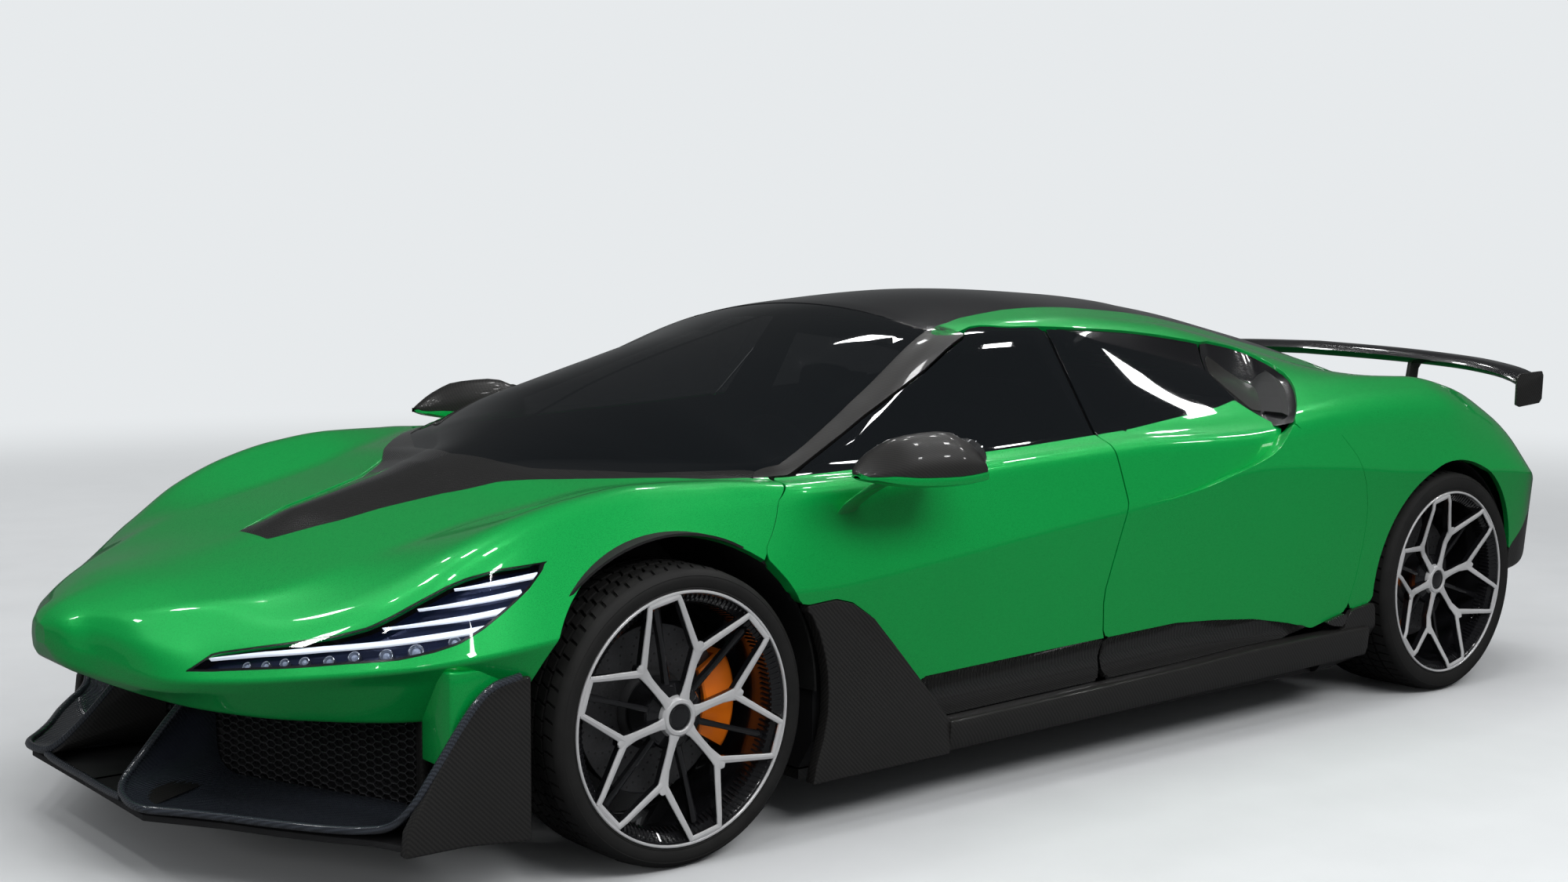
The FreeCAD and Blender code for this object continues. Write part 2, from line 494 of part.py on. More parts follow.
# rear wing: y, leading x, trailing x, height of the chord, thickness
WING = ((-860, -2200, -2345, 965, 14), (-760, -2188, -2352, 1000, 17), (-600, -2172, -2360, 1022, 20),
        (0, -2150, -2370, 1045, 24),
        (600, -2172, -2360, 1022, 20), (760, -2188, -2352, 1000, 17), (860, -2200, -2345, 965, 14))
wing_wires = []
for y, lead, trail, z, t in WING:
    a = Vector(lead, y, z)
    b = Vector(trail, y, z + 12)
    up = Part.Arc(a, Vector(lead - 60, y, z + t * 0.8), b).toShape()
    low = Part.Arc(b, Vector(lead - 60, y, z - t * 0.5), a).toShape()
    wing_wires.append(Part.Wire([up, low]))
blade_wing = Part.makeLoft(wing_wires, True, True)
plate_end = side_prism([(-2195, 885), (-2195, 985), (-2350, 995), (-2350, 900)], 860, 872)
pylon = side_prism([(-2150, 850), (-2210, 1042), (-2270, 1042), (-2230, 850)], 440, 458).cut(outer)
export("rear_wing", fuse([blade_wing] + both(plate_end) + both(pylon.cut(blade_wing))))

# cabin
seat = fuse([box(-60, 460, 140, 620, 290, 470), side_prism([(-60, 290), (-240, 960), (-150, 980), (60, 470),
                                                            (60, 290)], 150, 610)])
export("front_seats", both(seat))
rear_seat = fuse([box(-1000, -560, 110, 640, 290, 450), side_prism([(-940, 290), (-1090, 930),
                                                                    (-1010, 950), (-840, 450), (-840, 290)],
                                                                   120, 600)])
export("rear_seats", both(rear_seat))
dash = side_prism([(1035, 500), (1035, 830), (900, 850), (740, 800), (760, 640)], -700, 700)
dash = dash.common(cabin).cut(houses)
export("dashboard", dash)
centre = box(-500, 760, -90, 90, 290, 560)
export("centre_console", centre)
hub_at = Vector(600, 380, 800)
lean = Vector(-0.92, 0, 0.39)
ring = Part.makeTorus(165, 15, hub_at, lean)
column = Part.makeCylinder(28, 200, hub_at - lean * 160, lean)
spoke = Part.makeBox(24, 300, 30, Vector(-12, -150, -15))
spoke.Placement = FreeCAD.Placement(hub_at, FreeCAD.Rotation(Vector(0, 0, 1), lean))
export("steering_wheel", fuse([ring, column.cut(dash), spoke]))

# wheels and their carriers
# end: axle x, tyre radius, rim lip radius, tyre width, outer face y
ENDS = {"front": (FRONT_AXLE_X, FRONT_TYRE_R, FRONT_RIM_R, FRONT_TYRE_W, FRONT_FACE_Y),
        "rear": (REAR_AXLE_X, REAR_TYRE_R, REAR_RIM_R, REAR_TYRE_W, REAR_FACE_Y)}


def lathe(profile, x, z):
    # profile of (radius, y) points turned about the wheel axle
    p = [Vector(x, y, z + r) for r, y in profile]
    return Part.Face(Part.makePolygon(p + p[:1])).revolve(Vector(x, 0, z), Vector(0, 1, 0), 360)


for end, (x, tyre_r, rim_r, width, face) in ENDS.items():
    z = tyre_r
    back = face - width
    bead = rim_r - 24
    tyre = lathe([(bead, back + 6), (tyre_r - 22, back), (tyre_r - 6, back + 12), (tyre_r, back + 32),
                  (tyre_r, face - 32), (tyre_r - 6, face - 12), (tyre_r - 22, face), (rim_r + 1, face - 3),
                  (rim_r + 1, face - 12), (bead, face - 12)], x, z)
    well = rim_r - RIM_LIP
    barrel = lathe([(rim_r, face - 12), (rim_r, face - 4), (rim_r - 6, face - 2), (well + 8, face - 8),
                    (well, face - 18), (well, back + 4), (bead, back + 4), (bead, face - 12)], x, z)
    dish = 36 if end == "front" else 57
    hub = cyl_y(x, z, 78, face - dish - 60, face - dish)
    spokes = []
    for k in range(6):
        a = math.radians(60 * k + 90)

        def at_polar(r, da):
            return (x + r * math.cos(a + math.radians(da)), z + r * math.sin(a + math.radians(da)))

        def bar(p, q, w0, w1, y0, y1):
            ux, uz = (q[0] - p[0], q[1] - p[1])
            length = math.hypot(ux, uz)
            nx, nz = (-uz / length, ux / length)
            pts = [(p[0] + nx * w0, p[1] + nz * w0), (p[0] - nx * w0, p[1] - nz * w0),
                   (q[0] - nx * w1, q[1] - nz * w1), (q[0] + nx * w1, q[1] + nz * w1)]
            return side_prism(pts, y0, y1)

        node = at_polar(rim_r * 0.56, 0)
        spokes.append(bar(at_polar(55, 0), node, 15, 11, face - dish - 26, face - dish + 8))
        for side in (-1, 1):
            spokes.append(bar(node, at_polar(well + 4, side * SPOKE_OPEN), 9, 7, face - dish - 20, face - 10))
        spokes.append(bar(at_polar(well - 2, SPOKE_OPEN), at_polar(well - 2, 60 - SPOKE_OPEN), 7, 7,
                          face - 30, face - 10))
    rim = fuse([barrel, hub, fuse(spokes)])
    rim = rim.cut(cyl_y(x, z, 34, face - dish - 61, face))
    disc_r = rim_r - 96
    disc = lathe([(60, face - 172), (disc_r, face - 172), (disc_r, face - 142), (60, face - 142)], x, z)
    disc = disc.fuse(cyl_y(x, z, 70, face - 142, face - dish - 60)).cut(cyl_y(x, z, 34, 0, face))
    pin_y = KINGPIN_Y if end == "front" else back + 20
    carrier = box(x - 45, x + 45, pin_y - 18, pin_y + 18, z - 95, z + 95)
    stub = cyl_y(x, z, 33.9, pin_y, face - dish - 6)
    sign = 1 if end == "rear" else -1
    caliper = lathe([(disc_r - 60, face - 200), (disc_r + 34, face - 200), (disc_r + 34, face - 120),
                     (disc_r - 60, face - 120)], x, z)
    caliper = caliper.cut(lathe([(disc_r - 70, face - 176), (disc_r + 4, face - 176),
                                 (disc_r + 4, face - 138), (disc_r - 70, face - 138)], x, z))
    wedge = side_prism([(x, z), (x + sign * 320, z - 190), (x + sign * 320, z + 190)], 0, 1100)
    caliper = caliper.common(wedge)
    bracket = box(min(x, x + sign * 175), max(x, x + sign * 175), pin_y - 10, pin_y + 10, z - 40, z + 40)
    bracket = fuse([bracket, box(min(x + sign * 145, x + sign * 175), max(x + sign * 145, x + sign * 175),
                                 pin_y - 10, face - 200, z - 40, z + 40)])
    pins = Part.makeCylinder(PIN_R, 260, Vector(x, pin_y, z - 130), Vector(0, 0, 1))
    carrier = fuse([carrier, stub, bracket.cut(caliper), pins])
    frame_y = 450 if end == "front" else 540
    rail_x = (1075, 1790) if end == "front" else (-2050, -1330)
    frame = fuse([box(rail_x[0], rail_x[1], frame_y - 55, frame_y, FLOOR_Z + FLOOR_T, 225),
                  box(x - 170, x + 170, frame_y - 55, frame_y, 225, z + 140)])
    for level in (z - 126, z + 100):
        arm_plan = [(x - 22, pin_y), (x + 22, pin_y), (x + 160, frame_y), (x + 110, frame_y),
                    (x, pin_y - 90), (x - 110, frame_y), (x - 160, frame_y)]
        boss = Part.makeCylinder(26, 26, Vector(x, pin_y, level), Vector(0, 0, 1))
        bore = Part.makeCylinder(PIN_R + 0.3, 30, Vector(x, pin_y, level - 2), Vector(0, 0, 1))
        frame = fuse([frame, plan_prism(arm_plan, level + 3, level + 23), boss]).cut(bore)
    export(end + "_suspension", both(frame))
    for node_name, shape in (("tyre", tyre), ("rim", rim), ("brake_disc", disc)):
        export("%s_%s_left" % (end, node_name), shape)
        export("%s_%s_right" % (end, node_name), mirror(shape))
    for node_name, shape in (("hub_carrier", carrier), ("caliper", caliper)):
        if end == "rear":
            export("rear_%ss" % node_name, both(shape))
        else:
            export("front_%s_left" % node_name, shape)
            export("front_%s_right" % node_name, mirror(shape))

liner_arc = []
for end, x, z, r, y0, y1 in (("front", FRONT_AXLE_X, FRONT_TYRE_R, FRONT_ARCH_R, FRONT_HOUSE_Y, 940),
                             ("rear", REAR_AXLE_X, REAR_TYRE_R, REAR_ARCH_R, REAR_HOUSE_Y, 940)):
    ring = cyl_y(x, z, r, y0, y1).cut(cyl_y(x, z, r - LINER, y0, y1))
    liner_arc.append(ring.cut(box(x - 500, x + 500, y0 - 1, y1 + 1, -200, z)).cut(splitter))
export("wheel_liners", [s for l in liner_arc for s in both(l)])
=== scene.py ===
# Four-door supercar, dressed over its solids. Metres; X forward, Y to the car's left, Z up.
import json
import math

import bmesh
import bpy
import numpy as np
from mathutils import Matrix, Vector

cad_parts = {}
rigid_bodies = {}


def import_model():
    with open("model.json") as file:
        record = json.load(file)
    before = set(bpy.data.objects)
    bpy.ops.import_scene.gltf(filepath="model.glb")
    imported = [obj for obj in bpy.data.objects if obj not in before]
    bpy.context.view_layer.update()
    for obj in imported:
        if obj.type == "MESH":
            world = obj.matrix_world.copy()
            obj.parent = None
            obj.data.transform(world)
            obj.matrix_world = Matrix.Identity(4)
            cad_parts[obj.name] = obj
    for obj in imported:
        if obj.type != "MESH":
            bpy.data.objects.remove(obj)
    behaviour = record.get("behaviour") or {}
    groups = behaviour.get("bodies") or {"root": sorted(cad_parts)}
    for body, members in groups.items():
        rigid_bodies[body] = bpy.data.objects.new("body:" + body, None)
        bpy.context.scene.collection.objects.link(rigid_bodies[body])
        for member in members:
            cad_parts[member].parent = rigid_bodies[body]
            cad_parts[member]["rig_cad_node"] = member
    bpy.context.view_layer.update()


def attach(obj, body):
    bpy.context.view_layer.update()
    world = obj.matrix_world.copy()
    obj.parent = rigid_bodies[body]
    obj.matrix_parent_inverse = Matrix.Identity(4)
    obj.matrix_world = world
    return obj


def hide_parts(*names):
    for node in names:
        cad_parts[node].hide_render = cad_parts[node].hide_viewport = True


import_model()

scene = bpy.context.scene
scene.view_settings.view_transform = "Standard"

# ---- The view: from the car's front left at standing eye height, level but for a slight roll. Its place,
# heading and lens were solved from the wheels' ellipses, so that the car stands as in the photograph.
VIEW_AT = Vector((4.06437, 4.64004, 1.45475))
HEADING = (-129.027, -5.871, 0.433)     # yaw, pitch and roll in degrees
SENSOR_MM, FOCAL_PX, FRAME_PX = 36, 2589.67, 2000
yaw, pitch, roll = (math.radians(a) for a in HEADING)
ahead = Vector((math.cos(pitch) * math.cos(yaw), math.cos(pitch) * math.sin(yaw), math.sin(pitch)))
level = ahead.cross(Vector((0, 0, 1))).normalized()
plumb = level.cross(ahead)
right = level * math.cos(roll) + plumb * math.sin(roll)
up = plumb * math.cos(roll) - level * math.sin(roll)


def new_object(name, data):
    """An object in the scene that holds some data."""
    made = bpy.data.objects.new(name, data)
    scene.collection.objects.link(made)
    return made


view = new_object("view", bpy.data.cameras.new("view"))
view.data.sensor_width = SENSOR_MM
view.data.lens = SENSOR_MM * FOCAL_PX / FRAME_PX
view.data.clip_end = 200
view.matrix_world = Matrix(((right.x, up.x, -ahead.x, VIEW_AT.x), (right.y, up.y, -ahead.y, VIEW_AT.y),
                            (right.z, up.z, -ahead.z, VIEW_AT.z), (0, 0, 0, 1)))
scene.camera = view


# ---- The studio: a pale matt floor that fades into pale surroundings, small ceiling panels for points of
# light in the lacquer, and broad soft lamps at the sides and overhead. It isn't part of the car.
class Wire:
    """One value inside a finish; arithmetic on it adds the nodes that work it out."""

    def __init__(self, finish, socket):
        self.finish = finish
        self.socket = socket

    def sum(self, operation, a, b=0.0):
        return self.finish.node("ShaderNodeMath", {"operation": operation}, {0: a, 1: b})

    def __add__(self, other):
        return self.sum("ADD", self, other)

    def __radd__(self, other):
        return self.sum("ADD", other, self)

    def __sub__(self, other):
        return self.sum("SUBTRACT", self, other)

    def __rsub__(self, other):
        return self.sum("SUBTRACT", other, self)

    def __mul__(self, other):
        return self.sum("MULTIPLY", self, other)

    def __rmul__(self, other):
        return self.sum("MULTIPLY", other, self)

    def __truediv__(self, other):
        return self.sum("DIVIDE", self, other)

    def __lt__(self, other):
        return self.sum("LESS_THAN", self, other)

    def __mod__(self, other):
        return self.sum("FLOORED_MODULO", self, other)

    def __abs__(self):
        return self.sum("ABSOLUTE", self)

    def floor(self):
        return self.sum("FLOOR", self)

    def high(self, other):
        return self.sum("MAXIMUM", self, other)

    def power(self, other):
        return self.sum("POWER", self, other)


class Finish:
    """A material built round one Principled shader."""

    def __init__(self, name, colour, rough, metal=0.0, **fixed):
        self.material = bpy.data.materials.new(name)
        self.material.use_nodes = True
        self.tree = self.material.node_tree
        self.skin = self.tree.nodes["Principled BSDF"]
        self.set("Base Color", (*colour, 1))
        self.set("Roughness", rough)
        self.set("Metallic", metal)
        for key, value in fixed.items():
            self.set(key.replace("_", " "), value)

    def set(self, key, value, node=None):
        socket = (node or self.skin).inputs[key]
        if isinstance(value, Wire):
            self.tree.links.new(value.socket, socket)
        else:
            socket.default_value = value

    def node(self, kind, settings=None, values=None, out=0):
        made = self.tree.nodes.new(kind)
        for key, value in (settings or {}).items():
            if key == "stops":
                for stop, (at, shade) in zip(made.color_ramp.elements, value):
                    stop.position, stop.color = at, shade
            else:
                setattr(made, key, value)
        for key, value in (values or {}).items():
            self.set(key, value, made)
        return Wire(self, made.outputs[out])

    def output_of(self, kind, *names):
        """One or more named values of a new node that takes no settings."""
        outputs = self.node(kind).socket.node.outputs
        wires = [Wire(self, outputs[name]) for name in names]
        return wires if len(wires) > 1 else wires[0]

    def place(self):
        """The point on the piece, and its three lengths in metres."""
        point = self.node("ShaderNodeTexCoord", out="Object")
        parts = self.node("ShaderNodeSeparateXYZ", values={0: point}).socket.node.outputs
        return point, [Wire(self, s) for s in parts]

    def cloud(self, scale, detail=2.0, point=None):
        point = point or self.place()[0]
        return self.node("ShaderNodeTexNoise", None, {"Vector": point, "Scale": scale, "Detail": detail})

    def blend(self, share, a, b):
        """A colour between two, by a share that varies over the piece."""
        a, b = (v if isinstance(v, Wire) else (*v, 1) for v in (a, b))
        return self.node("ShaderNodeMix", {"data_type": "RGBA"}, {0: share, 6: a, 7: b}, out=2)

    def emboss(self, height, distance, strength=1.0):
        self.set("Normal", self.node("ShaderNodeBump", None, {
            "Height": height, "Distance": distance, "Strength": strength}))

    def show_mix(self, share, first, second):
        """Shows two shaders in place of the one coat, mixed by a share."""
        mix = self.node("ShaderNodeMixShader", None, {0: share, 1: first, 2: second})
        self.set(0, mix, self.tree.nodes["Material Output"])


def worn(name, scale, colour, faded, rough, rougher, metal=0.0, **fixed):
    """A finish with slow variation in colour and gloss over the piece, as handling and moulding leave."""
    finish = Finish(name, colour, rough, metal, **fixed)
    share = finish.cloud(scale, 4.0)
    finish.set("Base Color", finish.blend(share, colour, faded))
    finish.set("Roughness", rough + (rougher - rough) * share)
    return finish


HALL_WHITE = (0.95, 0.98, 1.0, 1)
HALL_GLOW, HALL_LIGHT = 0.84, 0.40      # strength as the lens sees it, and as it lights the car
FADE = (3.2, 11.0)                      # metres from the car's middle where the floor starts and ends to fade
floor_finish = Finish("studio_floor", (0.54, 0.55, 0.56), 0.8)
looked_at = floor_finish.output_of("ShaderNodeLightPath", "Is Camera Ray")
pale = floor_finish.blend(floor_finish.cloud(3.0, 5.0), (0.50, 0.51, 0.52), (0.57, 0.58, 0.59))
floor_finish.set("Base Color", floor_finish.blend(looked_at, (0.07, 0.072, 0.075), pale))
x, y, z = floor_finish.place()[1]
distance = (x * x + y * y).power(0.5)
far = floor_finish.node("ShaderNodeMapRange", {"interpolation_type": "SMOOTHSTEP"},
                        {0: distance, 1: FADE[0], 2: FADE[1], 3: 0.0, 4: 1.0})
glow = floor_finish.node("ShaderNodeEmission", None, {"Color": HALL_WHITE, "Strength": HALL_GLOW})
floor_finish.show_mix(far * looked_at, Wire(floor_finish, floor_finish.skin.outputs[0]), glow)
floor_mesh = bpy.data.meshes.new("studio_floor")
floor_mesh.from_pydata([(-60, -60, 0), (60, -60, 0), (60, 60, 0), (-60, 60, 0)], [], [(0, 1, 2, 3)])
floor_mesh.materials.append(floor_finish.material)
new_object("studio_floor", floor_mesh)


class Surroundings(Finish):
    """The world, written as a finish is."""

    def __init__(self, world):
        world.use_nodes = True
        self.tree = world.node_tree
        self.skin = self.tree.nodes["Background"]


# what the lens and the glass see is pale; what the lacquer mirrors is dim overhead, as in a hall
scene.world = bpy.data.worlds.new("surroundings")
hall = Surroundings(scene.world)
to_lens, through_glass, mirrored_in = hall.output_of(
    "ShaderNodeLightPath", "Is Camera Ray", "Is Transmission Ray", "Is Glossy Ray")
heading = hall.node("ShaderNodeTexCoord", out="Generated")
height = hall.node("ShaderNodeSeparateXYZ", values={0: heading}, out=2)
dim = hall.node("ShaderNodeMapRange", {"interpolation_type": "SMOOTHSTEP"},
                {0: height, 1: 0.0, 2: 0.40, 3: 0.11, 4: 0.04})
hall.set("Color", HALL_WHITE)
hall.set("Strength", HALL_LIGHT + to_lens.high(through_glass) * (HALL_GLOW - HALL_LIGHT)
         + mirrored_in * (dim - HALL_LIGHT))

# the panels give the highlights; four broad fills stay out of the lacquer's reflections
PANEL_ROWS, PANEL_FILES, PANEL_Z, PANEL_W = (-4.8, -3.2, -1.9, 2.2, 3.4, 4.8), (-2.6, -0.9, 0.9, 2.9), 4.8, 9
spots = [(x, y) for x in PANEL_ROWS for y in PANEL_FILES]
panels = [("panel_%d" % k, (x, y, PANEL_Z), (x, y, 0.0), 0.28, 0.28, PANEL_W, True)
          for k, (x, y) in enumerate(spots)]
fills = [("side_near", (0.3, 5.6, 4.6), (-0.2, 0.9, 0.7), 6.0, 2.0, 330, False),
         ("side_far", (0.5, -6.5, 3.4), (0.0, -0.9, 0.5), 6.0, 2.0, 110, False),
         ("front_fill", (7.5, 2.0, 2.2), (2.3, 0.2, 0.5), 3.0, 1.6, 75, False),
         ("overhead", (0.0, 0.5, 6.0), (0.0, 0.5, 0.0), 6.0, 3.0, 130, False)]
for name, at, aim, wide, long, watts, glossy in panels + fills:
    lamp = bpy.data.lights.new(name, "AREA")
    lamp.shape = "RECTANGLE"
    lamp.size, lamp.size_y, lamp.energy = wide, long, watts
    holder = new_object(name, lamp)
    holder.location = at
    holder.rotation_euler = (Vector(aim) - Vector(at)).to_track_quat("-Z", "Y").to_euler()
    holder.visible_glossy = glossy


# ---- The body's surface: one master shape, as the moulds of all the outer panels are cut from one model, so
# that panels, glass and trim run on in each other. Each row is a section across the car in mm: x, the
# underside's height, then half width and height of keel, sill, crease, shoulder, belt and rail, and the top.
SECTIONS = np.array((
    (2498, 505, 20, 28, 508, 32, 522, 28, 538, 20, 546, 10, 549, 550),
    (2485, 470, 70, 90, 480, 98, 512, 88, 546, 60, 560, 30, 565, 567),
    (2440, 440, 130, 165, 452, 180, 492, 165, 545, 110, 580, 55, 592, 596),
    (2380, 420, 300, 385, 446, 405, 474, 350, 530, 230, 590, 110, 612, 618),
    (2300, 402, 450, 520, 455, 545, 482, 455, 540, 320, 612, 140, 638, 642),
    (2170, 392, 620, 695, 474, 725, 505, 615, 580, 430, 640, 150, 663, 666),
    (2000, 392, 780, 850, 492, 885, 530, 750, 665, 490, 690, 150, 699, 703),
    (1850, 400, 850, 925, 492, 962, 555, 795, 758, 505, 730, 160, 741, 747),
    (1700, 420, 880, 955, 470, 990, 580, 812, 822, 515, 765, 180, 777, 785),
    (1550, 420, 900, 965, 455, 999, 600, 822, 860, 540, 798, 210, 810, 823),
    (1380, 420, 905, 970, 440, 1002, 612, 832, 878, 600, 838, 270, 858, 880),
    (1170, 300, 900, 965, 380, 994, 612, 868, 872, 725, 856, 600, 878, 966),
    (970, 120, 885, 952, 215, 985, 608, 920, 852, 838, 860, 790, 896, 1050),
    (600, 120, 880, 948, 210, 981, 638, 926, 850, 860, 872, 690, 1036, 1162),
    (180, 120, 880, 946, 210, 979, 682, 930, 868, 870, 890, 578, 1196, 1256),
    (-250, 120, 880, 948, 215, 982, 724, 942, 888, 872, 914, 578, 1212, 1284),
    (-700, 120, 880, 955, 225, 990, 785, 960, 905, 866, 946, 575, 1180, 1264),
    (-1050, 125, 880, 962, 240, 1000, 765, 962, 935, 852, 992, 560, 1120, 1222),
    (-1350, 150, 880, 968, 270, 1005, 735, 950, 950, 815, 1012, 545, 1050, 1165),
    (-1650, 230, 870, 970, 320, 1008, 715, 932, 940, 800, 1008, 560, 975, 1098),
    (-1900, 290, 850, 960, 345, 995, 700, 905, 890, 790, 965, 570, 925, 1020),
    (-2100, 310, 820, 940, 355, 972, 680, 868, 830, 762, 895, 550, 890, 955),
    (-2280, 325, 760, 865, 370, 890, 640, 810, 745, 710, 805, 500, 845, 890),
    (-2380, 335, 700, 790, 385, 815, 600, 755, 685, 660, 750, 460, 800, 845),
    (-2440, 345, 640, 712, 400, 738, 560, 700, 630, 610, 690, 430, 745, 790)), float)[::-1]
EDGE_ROUND = (12, 14, 10, 70, 34, 80)   # how far each edge's rounding reaches along the section
RUN_STEPS = (6, 5, 12, 14, 8, 12, 26)   # facets on each run between two edges
EDGE_STEPS = 5
PITCH = 13                              # mm from one section of the mesh to the next


def fair(knots, values, at):
    """Smooth curve through the values that never swings past them."""
    gap = np.diff(knots)
    slope = np.diff(values) / gap
    lean = np.zeros_like(values)
    for i in range(1, len(knots) - 1):
        if slope[i - 1] * slope[i] > 0:
            a, b = 2 * gap[i] + gap[i - 1], gap[i] + 2 * gap[i - 1]
            lean[i] = (a + b) / (a / slope[i - 1] + b / slope[i])
    lean[0], lean[-1] = slope[0], slope[-1]
    k = np.clip(np.searchsorted(knots, at) - 1, 0, len(knots) - 2)
    t = (at - knots[k]) / gap[k]
    return (values[k] * (1 + 2 * t) * (1 - t) ** 2 + lean[k] * gap[k] * t * (1 - t) ** 2
            + values[k + 1] * t * t * (3 - 2 * t) + lean[k + 1] * gap[k] * t * t * (t - 1))


def master_surface():
    """Grid of points over the car's left half, nose to tail and underside to roof, in metres."""
    knots = SECTIONS[:, 0]
    at = np.append(np.arange(knots[0], knots[-1], PITCH), knots[-1])[::-1]
    col = [fair(knots, SECTIONS[:, k], at) for k in range(1, 14)]
    zero = np.zeros(len(at))
    runs = ((zero, col[0]), (col[1], col[0]), (col[2], col[3]), (col[4], col[5]), (col[6], col[7]),
            (col[8], col[9]), (col[10], col[11]))
    runs = [np.stack(r, -1) for r in runs]
    points = []
    begin = runs[0]
    for k in range(1, 7):
        corner = runs[k]
        after = runs[k + 1] if k < 6 else np.stack((zero, col[12]), -1)
        back, on = runs[k - 1] - corner, after - corner
        la, lb = np.linalg.norm(back, axis=1), np.linalg.norm(on, axis=1)
        reach = np.minimum(EDGE_ROUND[k - 1], 0.45 * np.minimum(la, lb))
        start = corner + back * (reach / np.maximum(la, 1e-6))[:, None]
        end = corner + on * (reach / np.maximum(lb, 1e-6))[:, None]
        for i in range(RUN_STEPS[k - 1]):
            t = i / RUN_STEPS[k - 1]
            points.append(begin * (1 - t) + start * t)
        for i in range(EDGE_STEPS):
            t = i / EDGE_STEPS
            points.append(start * (1 - t) ** 2 + 2 * corner * t * (1 - t) + end * t * t)
        begin = end
    rise = np.maximum(col[12] - begin[:, 1], 0.5)
    arc = (begin[:, 0] ** 2 + rise ** 2) / (2 * rise)
    for i in range(RUN_STEPS[6] + 1):
        y = begin[:, 0] * (1 - i / RUN_STEPS[6])
        points.append(np.stack((y, col[12] - arc + np.sqrt(np.maximum(arc ** 2 - y ** 2, 0))), -1))
    grid = np.stack(points, 1)
    return np.concatenate((np.repeat(at[:, None, None], grid.shape[1], 1), grid), -1) / 1000


def unit(v):
    """Vectors at length one."""
    return v / np.maximum(np.linalg.norm(v, axis=-1, keepdims=True), 1e-12)


